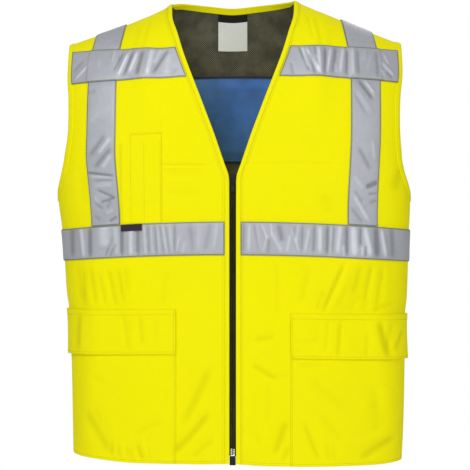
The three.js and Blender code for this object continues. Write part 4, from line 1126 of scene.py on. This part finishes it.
class VestStage(bpy.types.Operator):
    """Camera, floor, lights and surroundings"""
    bl_idname = "vest.stage"
    bl_label = "Stage"

    def execute(self, context):
        scene = context.scene
        lens = bpy.data.cameras.new("camera")
        lens.sensor_width = 36
        lens.lens = CAMERA_LENS
        lens.clip_end = 50
        camera = bpy.data.objects.new("camera", lens)
        camera.location = (CAMERA_X, -sizes().camera_distance, CAMERA_Z)
        camera.rotation_euler = (math.pi / 2, 0, 0)
        scene.collection.objects.link(camera)
        scene.camera = camera
        scene.view_settings.view_transform = "Standard"
        for name, energy, size, place, aim in LIGHTS:
            lamp = bpy.data.lights.new(name, "AREA")
            lamp.energy = energy
            lamp.size = size
            made = bpy.data.objects.new(name, lamp)
            made.location = place
            direction = np.array(aim) - np.array(place)
            flat = math.hypot(direction[0], direction[1])
            made.rotation_euler = (math.atan2(flat, -direction[2]), 0, math.atan2(-direction[0], direction[1]))
            scene.collection.objects.link(made)
        world = bpy.data.worlds.new("studio")
        scene.world = world
        world.use_nodes = True
        tree = world.node_tree
        tree.nodes.clear()
        seen = tree.nodes.new("ShaderNodeBackground")
        seen.inputs["Color"].default_value = (1, 1, 1, 1)
        seen.inputs["Strength"].default_value = 1.0
        lit = tree.nodes.new("ShaderNodeBackground")
        lit.inputs["Color"].default_value = (1, 1, 1, 1)
        lit.inputs["Strength"].default_value = WORLD_STRENGTH
        path = tree.nodes.new("ShaderNodeLightPath")
        mix = tree.nodes.new("ShaderNodeMixShader")
        output = tree.nodes.new("ShaderNodeOutputWorld")
        tree.links.new(path.outputs["Is Camera Ray"], mix.inputs[0])
        tree.links.new(lit.outputs[0], mix.inputs[1])
        tree.links.new(seen.outputs[0], mix.inputs[2])
        tree.links.new(mix.outputs[0], output.inputs["Surface"])
        bpy.ops.object.select_all(action="DESELECT")
        bpy.ops.mesh.primitive_plane_add(size=FLOOR_SIZE, location=(0, 0, FLOOR_HEIGHT))
        floor = context.active_object
        floor.name = "floor"
        bpy.ops.object.transform_apply(location=True, rotation=True, scale=True)
        made = Finish("floor", Roughness=0.7, Specular_IOR_Level=0.2)
        soft = made.noise(made.place(), 3, 2, 0.5)
        made.feed("Base Color", made.blend(soft, rgb(238, 238, 238), rgb(244, 244, 244)))
        floor.data.materials.append(made.material)
        return {"FINISHED"}


CAMERA_LENS = 153.87
CAMERA_X = 0.0036
CAMERA_Z = -0.3666
WORLD_STRENGTH = 0.36
FLOOR_SIZE = 3.4
FLOOR_HEIGHT = -1.02
LIGHTS = (
    ("key_light", 57, 1.3, (-1.1, -3.1, 1.5), (0, 0, -0.38)),
    ("fill_light", 20, 1.6, (1.5, -2.8, 0.1), (0, 0, -0.4)),
    ("back_light", 22, 1.8, (0.4, 2.4, 1.3), (0, 0, -0.35)),
)


class VestBody(bpy.types.Operator):
    """The two fronts and the back"""
    bl_idname = "vest.body"
    bl_label = "Fronts and back"

    def execute(self, context):
        step = sizes().cloth_step
        rows = sorted(set(rows_between(BODY_LENGTH, -1, step)) | set(CREASE_ROWS), reverse=True)
        for name, side in SIDES:
            outer = front_grid(side, 0, FRONT_SIDE, rows, 0, step)
            inner = front_grid(side, 0, FRONT_SIDE, rows, -SHELL_WALL, step)
            piece = cloth_piece(f"front_panel_{name}_cloth", outer, inner, material("yellow_cloth"),
                                f"front_panel_{name}")
            declare_sheet(outer)
            hem = [4.5]
            grid_seams("yellow", outer, hem, [3.0])
        outer = back_grid(BACK_SIDE, rows, 0, step)
        inner = back_grid(BACK_SIDE, rows, -SHELL_WALL, step)
        piece = cloth_piece("back_panel_cloth", outer, inner, material("yellow_cloth"), "back_panel")
        declare_sheet(outer)
        grid_seams("yellow", outer, [4.5])
        return {"FINISHED"}


CREASE_ROWS = (263.4, 262.2, 261.2, 260.2, 259.2, 258.0, 256.6)


class VestLining(bpy.types.Operator):
    """Mesh lining of the back and the facing along the back neck"""
    bl_idname = "vest.lining"
    bl_label = "Lining and neck facing"

    def execute(self, context):
        step = sizes().cloth_step
        rows = rows_between(BODY_LENGTH, -0.859, step)
        inner = back_grid(BACK_SIDE, rows, LINING_LAYER[0], step)
        outer = back_grid(BACK_SIDE, rows, LINING_LAYER[1], step)
        piece = cloth_piece("back_lining_mesh", outer, inner, material("lining_mesh"), "back_lining")
        declare_sheet(outer)
        rows = list(-np.linspace(0.862, 1, 7))
        outer = back_grid(4, rows, FACING_LAYER[1], 3)
        inner = back_grid(4, rows, FACING_LAYER[0], 3)
        piece = cloth_piece("neck_facing_cloth", outer, inner, material("yellow_cloth"), "neck_facing")
        declare_sheet(outer)
        return {"FINISHED"}


LAP = 0.9
LAP_UNDER = 0.25


def band_profile():
    """Corners of a band's rounded section: shares of its width and its height over the shell's inner face."""
    low, high = -SHELL_WALL - LAP_UNDER, BAND_WALL - SHELL_WALL
    soft = 0.5
    width = BAND_WIDTH + LAP
    return [
        (0.0, low + soft), (0.0, high - soft), (soft, high), (width * 0.5, high + 0.25),
        (width - soft, high), (width, high - soft), (width, low + soft),
        (width - soft, low), (width * 0.5, low), (soft, low),
    ]


def tube_faces(rows, around, closed):
    index = np.arange(rows * around).reshape(rows, around)
    following = np.roll(index, -1, axis=1)
    if closed:
        below, below_next = np.roll(index, -1, axis=0), np.roll(following, -1, axis=0)
        return np.stack([index, following, below_next, below], -1).reshape(-1, 4)
    return np.stack([index[:-1], following[:-1], following[1:], index[1:]], -1).reshape(-1, 4)


class VestBands(bpy.types.Operator):
    """Stitched edges along the neckline, the zip and the armholes"""
    bl_idname = "vest.bands"
    bl_label = "Edge bands"

    def execute(self, context):
        profile = band_profile()
        rows = np.array(rows_between(BODY_LENGTH, -1, 3.4))
        for name, side in SIDES:
            lines = []
            for out, offset in profile:
                x = np.full(rows.shape, float(NECK_HALF_WIDTH))
                for _ in range(SETTLING_PASSES * 2):
                    z = height_of(rows, x)
                    x = neck_edge(z) + out
                z = height_of(rows, x)
                lines.append(skin(side, -1, angle_at_x(z, -1, x), z, np.full(z.shape, offset)))
            self.band(f"edge_band_{name}", np.stack(lines, 1), False, (3, 3))
            drops, turns = self.armhole_rows()
            lines = []
            for out, offset in profile:
                lines.append(self.armhole_line(side, out, offset, drops, turns))
            self.band(f"armhole_band_{name}", np.stack(lines, 1), True, (3, 3))
        return {"FINISHED"}

    def band(self, name, rings, closed, seams):
        rows, around = rings.shape[:2]
        points = rings.reshape(-1, 3)
        faces = tube_faces(rows, around, closed)
        if not closed:
            caps = []
            for row, turn in ((0, 1), (rows - 1, -1)):
                ring = (row * around + np.arange(around))[::turn]
                half = around // 2
                for k in range(half - 1):
                    caps.append((ring[k], ring[k + 1], ring[around - 2 - k], ring[around - 1 - k]))
            faces = np.concatenate([faces, np.array(caps)])
        if surface_volume(points, faces) < 0:
            faces = faces[:, ::-1]
        step = np.linalg.norm(np.diff(points.reshape(rings.shape)[:, 3], axis=0), axis=1)
        along = np.concatenate([[0], np.cumsum(step)])
        around_step = np.linspace(0, 2 * (BAND_WIDTH + BAND_WALL), around)
        uvs = np.stack([np.broadcast_to(around_step[None], (rows, around)),
                        np.broadcast_to(along[:, None], (rows, around))], -1).reshape(-1, 2)
        made = mesh_object(f"{name}_cloth", points, faces, uvs)
        add_attribute(made, "side_edge", np.full(len(made.data.vertices), 0.01))
        add_attribute(made, "end_edge", np.full(len(made.data.vertices), 0.01))
        finish_piece(made, material("yellow_cloth"), name)
        smooth_by_angle(made, 60)
        normals = rings[:, 3] - rings[:, 8]
        normals /= np.linalg.norm(normals, axis=1, keepdims=True)
        path = rings[:, 4] * 0.8 + rings[:, 3] * 0.2
        if closed:
            path = np.concatenate([path, path[:1]])
            normals = np.concatenate([normals, normals[:1]])
        seam("band", path, normals)
        return made

    def armhole_rows(self):
        upper = [r for r in rows_between(SHOULDER_ROLL_DROP, -1, 3.4)][::-1]
        turns = np.radians(np.linspace(0, 90, 22)[1:])
        return np.array(upper), turns

    def armhole_line(self, side, out, offset, drops, turns):
        x = np.full(drops.shape, float(SHOULDER_HALF_WIDTH - out))
        high = height_of(drops, x)
        under = -(SHOULDER_ROLL_DROP + (UNDERARM_DROP + out - SHOULDER_ROLL_DROP) * np.sin(turns))
        z = np.concatenate([high, under, under[-2::-1], high[:0:-1]])
        faces = np.concatenate([np.full(len(high) + len(under), -1.0), np.full(len(z) - len(high) - len(under), 1.0)])
        points = np.empty((len(z), 3))
        for face in (-1, 1):
            at = faces == face
            angle = outer_angle(z[at], face, out)
            points[at] = skin(side, face, angle, z[at], np.full(at.sum(), offset), 0)
        return points


class VestTapes(bpy.types.Operator):
    """Reflective tapes round the waist, over the chest and over the shoulders"""
    bl_idname = "vest.tapes"
    bl_label = "Reflective tapes"

    def execute(self, context):
        step = sizes().tape_step
        waist = rows_between(WAIST_TAPE_BOTTOM, WAIST_TAPE_TOP, step)
        chest = rows_between(CHEST_TAPE_BOTTOM, CHEST_TAPE_TOP, step)
        pucker = pinned(tape_pucker)

        def climbing(layer):
            def offset(column, share):
                over = smoothstep(column, 6.7, 7) * (1 - smoothstep(column, 9, 9.35))
                return TAPE_LAYER[layer] + (OVER_TAPE_LAYER[layer] - TAPE_LAYER[layer]) * over
            return offset

        for name, side in SIDES:
            outer = front_grid(side, 0, FRONT_SIDE, waist, TAPE_LAYER[1], step, pucker)
            inner = front_grid(side, 0, FRONT_SIDE, waist, TAPE_LAYER[0], step, pucker)
            self.tape(f"waist_tape_{name}", outer, inner, f"front_panel_{name}_cloth", [2.4, -2.4], [])
            outer = front_grid(side, 1, FRONT_SIDE, chest, climbing(1), step, pucker)
            inner = front_grid(side, 1, FRONT_SIDE, chest, climbing(0), step, pucker)
            self.tape(f"chest_tape_{name}", outer, inner, f"front_panel_{name}_cloth", [2.4, -2.4], [2.4])
            outer, inner = self.brace(side, step)
            self.tape(f"brace_tape_{name}", outer, inner, f"front_panel_{name}_cloth", [], [2.4, -2.4])
        outer = back_grid(BACK_SIDE, waist, TAPE_LAYER[1], step, pucker)
        inner = back_grid(BACK_SIDE, waist, TAPE_LAYER[0], step, pucker)
        self.tape("waist_tape_back", outer, inner, "back_panel_cloth", [2.4, -2.4], [])
        return {"FINISHED"}

    def tape(self, name, outer, inner, under, row_seams, column_seams):
        piece = cloth_piece(f"{name}_cloth", outer, inner, material("silver_tape"), name)
        declare_sheet(outer)
        grid_seams("tape", outer, row_seams, column_seams)

    def brace(self, side, step):
        rising = rows_between(WAIST_TAPE_TOP - GAP, -1, step)
        layers = []
        for offset in (TAPE_LAYER[1], TAPE_LAYER[0]):
            halves = []
            for face, first, rows in ((-1, FRONT_BRACE, rising), (1, BACK_BRACE, rising[:-1][::-1])):
                columns = columns_between(face, first, first + 2, step)
                angle, z = stations(face, columns, rows)
                low = tape_pucker(side, face, angle, z)
                near = np.minimum(np.arange(len(columns)), np.arange(len(columns))[::-1])
                low = low * np.clip(0.2 + near / 3, 0, 1)[None]
                crossing = smoothstep(-z, 66, 76) * (1 - smoothstep(-z, 120, 130)) if face < 0 else 0
                low = low * (1 - crossing)
                seam_gap = np.where(np.asarray(rows)[:, None] == -1, 0.0, SEAM_GAP)
                halves.append(skin(side, face, angle, z, offset + low, seam_gap))
            layers.append(np.concatenate(halves))
        return layers


class VestPockets(bpy.types.Operator):
    """Lower pockets with their flaps, and the pen pocket"""
    bl_idname = "vest.pockets"
    bl_label = "Pockets"

    def execute(self, context):
        step = sizes().cloth_step * 0.8
        rows = rows_between(BODY_LENGTH, FLAP_DROP, step)
        flap_rows = rows_between(FLAP_BOTTOM, FLAP_DROP, step)
        for name, side in SIDES:
            outer = front_grid(side, 2, FRONT_SIDE, rows, POCKET_LAYER[1], step)
            inner = front_grid(side, 2, FRONT_SIDE, rows, POCKET_LAYER[0], step)
            piece = cloth_piece(f"pocket_{name}_cloth", outer, inner, material("yellow_cloth"),
                                f"pocket_{name}")
            declare_sheet(outer)
            grid_seams("yellow", outer, [4.0], [3.0])

            def lifted(extra):
                def offset(column, share):
                    out = (column - 2) / (FRONT_SIDE - 2)
                    return POCKET_LAYER[1] + GAP + FLAP_LIFT * (1 - share) * out ** 3 + extra
                return offset

            outer = front_grid(side, 2, FRONT_SIDE, flap_rows, lifted(FLAP_WALL), step)
            inner = front_grid(side, 2, FRONT_SIDE, flap_rows, lifted(0), step)
            piece = cloth_piece(f"flap_{name}_cloth", outer, inner, material("yellow_cloth"),
                                f"flap_{name}")
            declare_sheet(outer)
            grid_seams("yellow", outer, [4.0, -9.0], [3.0])
        self.pen_pocket()
        return {"FINISHED"}

    def pen_pocket(self):
        rows = list(np.linspace(WAIST_TAPE_TOP - GAP, PEN_STRIP_DROP, 44))
        rows += list(np.linspace(PEN_STRIP_DROP, PEN_POCKET_DROP, 6)[1:])
        outer = front_grid(-1, 3, 6, rows, POCKET_LAYER[1], 2.9)
        inner = front_grid(-1, 3, 6, rows, POCKET_LAYER[0], 2.9)
        columns = columns_between(-1, 3, 6, 2.9)
        keep = np.ones((len(rows) - 1, len(columns) - 1), bool)
        high = np.asarray(rows)[:-1] < PEN_STRIP_DROP + 0.01
        outside_step = np.asarray(columns)[:-1] >= 5
        keep[np.ix_(high, outside_step)] = False
        piece = cloth_piece("pen_pocket_cloth", outer, inner, material("yellow_cloth"),
                            "pen_pocket", keep=keep)
        declare_sheet(outer)
        cut = outer[:44]
        grid_seams("yellow", cut, [], [2.5, 27.5, -2.5])
        at = columns.index(5) if 5 in columns else len(columns) // 2
        grid_seams("yellow", outer[:, :at + 1], [-2.5], [-1.0])


class VestLabels(bpy.types.Operator):
    """Bare tab at the waist and bare label at the back neck"""
    bl_idname = "vest.labels"
    bl_label = "Labels"

    def execute(self, context):
        rows = rows_between(SIDE_LABEL_DROP, WAIST_TAPE_TOP, 1.4)
        raised = lambda side, face, angle, z: np.full(z.shape, 1.6 * sizes().pucker)
        outer = front_grid(-1, 4, 6, rows, LABEL_LAYER[1], 2, raised)
        inner = front_grid(-1, 4, 6, rows, LABEL_LAYER[0], 2, raised)
        piece = cloth_piece("side_label_ribbon", outer, inner, material("dark_label"), "side_label")
        declare_sheet(outer)
        for name, low, high, finish in (("neck_label", -0.108, -0.678, "pale_label"),
                                        ("neck_label_head", -0.682, -0.859, "head_label")):
            rows = list(np.linspace(low, high, 14))
            outer = back_grid(1, rows, NECK_LABEL_LAYER[1], 2.4)
            inner = back_grid(1, rows, NECK_LABEL_LAYER[0], 2.4)
            piece = cloth_piece(f"{name}_ribbon", outer, inner, material(finish), name)
            declare_sheet(outer)
        return {"FINISHED"}


class VestPad(bpy.types.Operator):
    """Cooling pad inside the back"""
    bl_idname = "vest.pad"
    bl_label = "Cooling pad"

    def execute(self, context):
        rows = rows_between(PAD_BOTTOM, PAD_DROP, 3)
        outer = back_grid(5, rows, PAD_FACE, 3)
        place = flat_places(outer)
        u, v = place[..., 0], place[..., 1]
        side = np.minimum(u - u[:, :1], u[:, -1:] - u)
        end = np.minimum(v - v[:1], v[-1:] - v)
        edge = np.minimum(side, end)
        rim = smoothstep(edge, 0, 2.0) * 2.2
        pad = smoothstep(edge, 5.0, 20.0) * 6.4
        groove = -1.2 * np.exp(-((edge - 5.0) / 1.3) ** 2)
        half = np.abs(u - (u[:, :1] + u[:, -1:]) / 2)
        dimple = 0.5 * np.sin(u / 13.0) * np.sin(v / 11.0 + 0.6) * smoothstep(edge, 8, 22)
        thick = 1.4 + rim + pad + groove + dimple - 0.4 * (half < 0)
        inner = self.shifted(thick, rows)
        piece = cloth_piece("cooling_panel_pad", outer, inner, material("cooling_cloth"),
                            "cooling_panel")
        normals = grid_normals(inner)
        if normals[10, 10] @ np.array([0, 1, 0]) > 0:
            normals = -normals
        for distance, axis in ((4.0, 0), (-4.0, 0), (4.0, 1), (-4.0, 1)):
            seam("pad", *inset(inner, normals, distance, axis))
        return {"FINISHED"}

    def shifted(self, thick, rows):
        return back_grid(5, rows, lambda column, share: PAD_FACE - thick, 3)


# Zip

def zip_frame(drop):
    """Place and tilt of the zip's own frame at a drop."""
    angle, z = np.zeros(1), np.array([-float(drop)])
    here = skin(1, -1, angle, z, np.zeros(1))[0]
    slope = outward(np.zeros(1), here[1:2], z, -1)[0]
    return here, math.atan2(-slope[2], -slope[1])


def zip_points(local, drop):
    """Points in the zip's own frame at a drop, in millimetres: x across, y out of the cloth, z up."""
    here, tilt = zip_frame(drop)
    local = np.asarray(local, float)
    y, z = -local[:, 1], local[:, 2]
    turned = np.stack([local[:, 0], y * math.cos(tilt) - z * math.sin(tilt),
                       y * math.sin(tilt) + z * math.cos(tilt)], 1)
    return turned + here


def mesh_points(piece):
    out = np.empty(len(piece.data.vertices) * 3)
    piece.data.vertices.foreach_get("co", out)
    return out.reshape(-1, 3)


def set_points(piece, points):
    piece.data.vertices.foreach_set("co", np.asarray(points, np.float32).ravel())
    piece.data.update()


def bevelled_block(name, size, middle, bevel, segments=2):
    """Block with rounded edges, as a primitive that edit mode bevels; millimetres in the zip's own frame."""
    bpy.ops.object.select_all(action="DESELECT")
    bpy.ops.mesh.primitive_cube_add(size=1, location=middle, scale=size)
    piece = bpy.context.active_object
    piece.name = name
    bpy.ops.object.transform_apply(location=True, rotation=True, scale=True)
    bpy.ops.object.mode_set(mode="EDIT")
    bpy.ops.mesh.select_all(action="SELECT")
    bpy.ops.mesh.bevel(offset=bevel, segments=segments, affect="EDGES")
    bpy.ops.object.mode_set(mode="OBJECT")
    return piece


def narrowed(piece, test, factor, axis=0):
    """Scales the points that pass a test towards the middle along one axis."""
    points = mesh_points(piece)
    at = test(points)
    points[at, axis] *= factor
    set_points(piece, points)


def joined(pieces, name):
    bpy.ops.object.select_all(action="DESELECT")
    for piece in pieces:
        piece.select_set(True)
    bpy.context.view_layer.objects.active = pieces[0]
    bpy.ops.object.join()
    made = bpy.context.active_object
    made.name = name
    return made


class VestZip(bpy.types.Operator):
    """Zip tapes, teeth, slider, pull tab and end box"""
    bl_idname = "vest.zip"
    bl_label = "Zip"

    def execute(self, context):
        for name, side in SIDES:
            self.zip_tape(name, side)
        self.teeth()
        self.slider()
        self.pull()
        self.box()
        return {"FINISHED"}

    def zip_tape(self, name, side):
        rows = np.linspace(BOX_TOP - GAP, ZIP_TOP, 150)
        inner_x = CHAIN_WIDTH / 2 + GAP
        places = np.linspace(inner_x, inner_x + ZIP_TAPE_WIDTH, 6)
        x, z = np.meshgrid(places, -rows)
        angle = angle_at_x(z, -1, x)
        outer = skin(side, -1, angle, z, np.full(z.shape, ZIP_TAPE_LAYER[1]))
        inner = skin(side, -1, angle, z, np.full(z.shape, ZIP_TAPE_LAYER[0]))
        piece = cloth_piece(f"zip_tape_{name}_ribbon", outer, inner, material("black_tape"),
                            f"zip_tape_{name}")
        declare_sheet(outer)

    def teeth(self):
        middle = (CHAIN_LAYER[0] + CHAIN_LAYER[1]) / 2
        thick = CHAIN_LAYER[1] - CHAIN_LAYER[0]
        tooth = bevelled_block("tooth", (3.3, thick, 1.14), (1.0, middle, 0), 0.28, 1)
        narrowed(tooth, lambda p: p[:, 0] < 0, 0.8, 1)
        shape = mesh_points(tooth)
        middle_y = shape[:, 1].mean()
        faces = [tuple(p.vertices) for p in tooth.data.polygons]
        bpy.data.objects.remove(tooth)
        pitch = 2.5
        points, polygons = [], []
        count = int((BOX_TOP - GAP - ZIP_TOP) / pitch)
        for k in range(count * 2 - 1):
            drop = ZIP_TOP + 0.9 + k * pitch / 2
            flip = 1 if k % 2 else -1
            local = shape * (flip, 1, 1)
            polygons += [tuple((v + len(points) * len(shape)) for v in (f if flip > 0 else f[::-1])) for f in faces]
            points.append(zip_points(local, drop))
        mesh = bpy.data.meshes.new("zip_teeth")
        mesh.from_pydata((np.concatenate(points) * MM).tolist(), [], polygons)
        made = bpy.data.objects.new("zip_teeth", mesh)
        bpy.context.scene.collection.objects.link(made)
        finish_piece(made, material("zip_teeth"), "zip_chain")
        smooth_by_angle(made, 30)

    def placed(self, piece, drop, name, node, body, lift=(0, 0, 0)):
        set_points(piece, zip_points(mesh_points(piece) + lift, drop) * MM)
        finish_piece(piece, material("zip_plastic"), node, body)
        piece.name = name
        smooth_by_angle(piece, 30)

    def slider(self):
        front_low, front_high = -0.9, 0.5
        back_low, back_high = -5.7, -4.3
        plates = []
        for low, high in ((front_low, front_high), (back_low, back_high)):
            plate = bevelled_block("plate", (9.6, high - low, 19), (0, (low + high) / 2, 0), 0.45, 2)
            bpy.ops.object.mode_set(mode="EDIT")
            bpy.ops.mesh.select_all(action="SELECT")
            bpy.ops.mesh.bisect(plane_co=(0, 0, 3), plane_no=(0, 0, 1))
            bpy.ops.mesh.select_all(action="SELECT")
            bpy.ops.mesh.bisect(plane_co=(0, 0, 7), plane_no=(0, 0, 1))
            bpy.ops.object.mode_set(mode="OBJECT")
            points = mesh_points(plate)
            lower = np.clip((3 - points[:, 2]) / 12.5, 0, 1)
            upper = np.clip((points[:, 2] - 7) / 2.5, 0, 1)
            points[:, 0] *= 1 - 0.22 * lower - 0.3 * upper
            set_points(plate, points)
            plates.append(plate)
        core = bevelled_block("core", (3.2, 3.6, 8.6), (0, -2.6, 4.8), 0.3, 1)
        crown = bevelled_block("crown", (2.2, 1.2, 15), (0, 3.9, 0), 0.4, 2)
        feet = [bevelled_block("foot", (2.2, 4.2, 1.2), (0, 1.9, way * 6.9), 0.3, 1) for way in (1, -1)]
        self.placed(joined([*plates, core, crown, *feet], "zip_slider_body"), SLIDER_DROP, "zip_slider_body",
                    "zip_slider", "vest")

    def pull(self):
        pivot_up, pivot_out, eye = 3.9, 1.9, 11.25
        width, length, wall, bar = 6.4, 24, 1.3, 1.5
        side = (width - 3.8) / 2
        pieces = []
        for way in (1, -1):
            pieces.append(bevelled_block("rail", (side, wall, length - 2), (way * (width - side) / 2, 0,
                                                                          bar / 2 - length / 2), 0.35, 2))
        pieces.append(bevelled_block("bar", (width - 0.4, wall, bar), (0, 0, 0), 0.35, 2))
        low = -bar / 2 - eye
        rest = length - bar - eye
        pieces.append(bevelled_block("tab", (width, wall, rest), (0, 0, low - rest / 2), 0.45, 2))
        pieces.append(bevelled_block("grip", (width - 2.6, wall + 0.5, rest - 3.4), (0, 0, low - rest / 2 - 0.4),
                                     0.4, 2))
        self.placed(joined(pieces, "zip_pull_tab"), SLIDER_DROP, "zip_pull_tab", "zip_pull", "zip_pull",
                    (0, pivot_out, pivot_up))

    def box(self):
        middle = (CHAIN_LAYER[0] + CHAIN_LAYER[1]) / 2
        pieces = [
            bevelled_block("box", (9.4, 4.6, 14), (0, middle, 0), 0.7, 3),
            bevelled_block("rib", (1.6, 0.9, 10), (0, middle + 2.3, 0), 0.3, 2),
        ]
        self.placed(joined(pieces, "zip_box_body"), BOX_TOP + 7, "zip_box_body", "zip_box", "vest")


class VestStitches(bpy.types.Operator):
    """Stitches along the seams that the other operators leave"""
    bl_idname = "vest.stitches"
    bl_label = "Stitches"

    def execute(self, context):
        looks = {"yellow": ("yellow_thread", "yellow_cloth"), "band": ("yellow_thread", "yellow_cloth"),
                 "tape": ("tape_thread", "silver_tape"), "pad": ("blue_thread", "cooling_cloth")}
        for group, runs in SEAMS.items():
            points, faces, count = [], [], 0
            for path, normals in runs:
                some, corners = stitches_along(path, normals)
                points.append(some)
                faces.append(corners + count)
                count += len(some)
            if not count:
                raise RuntimeError(f"no stitches in {group}")
            points, faces = np.concatenate(points), np.concatenate(faces)
            if surface_volume(points[:16], faces[:14]) < 0:
                faces = faces[:, ::-1]
            finish, slot = looks[group]
            made = mesh_object(f"{group}_stitches", points, faces, points[:, :2])
            finish_piece(made, material(finish))
        return {"FINISHED"}


class VestPanel(bpy.types.Panel):
    """Lists the vest's operators"""
    bl_idname = "VIEW3D_PT_vest"
    bl_label = "Cooling vest"
    bl_space_type = "VIEW_3D"
    bl_region_type = "UI"
    bl_category = "Vest"

    def draw(self, context):
        for name in ("cloth_step", "tape_step", "pucker", "camera_distance"):
            self.layout.prop(context.scene.vest_sizes, name)
        for name in ("cloth", "tape", "pad"):
            self.layout.prop(context.scene.vest_colours, name)
        for operator in OPERATORS:
            self.layout.operator(operator.bl_idname)


OPERATORS = (VestStage, VestBands, VestBody, VestLining, VestTapes, VestPockets, VestLabels, VestPad, VestZip,
             VestStitches)
CLASSES = (VestSizes, VestColours, *OPERATORS, VestPanel)


def register():
    for cls in CLASSES:
        bpy.utils.register_class(cls)
    bpy.types.Scene.vest_sizes = PointerProperty(type=VestSizes)
    bpy.types.Scene.vest_colours = PointerProperty(type=VestColours)


def unregister():
    del bpy.types.Scene.vest_colours
    del bpy.types.Scene.vest_sizes
    for cls in reversed(CLASSES):
        bpy.utils.unregister_class(cls)


def main():
    register()
    bpy.ops.object.select_all(action="DESELECT")
    for operator in OPERATORS:
        group, name = operator.bl_idname.split(".")
        getattr(getattr(bpy.ops, group), name)()


if __name__ == "__main__":
    main()
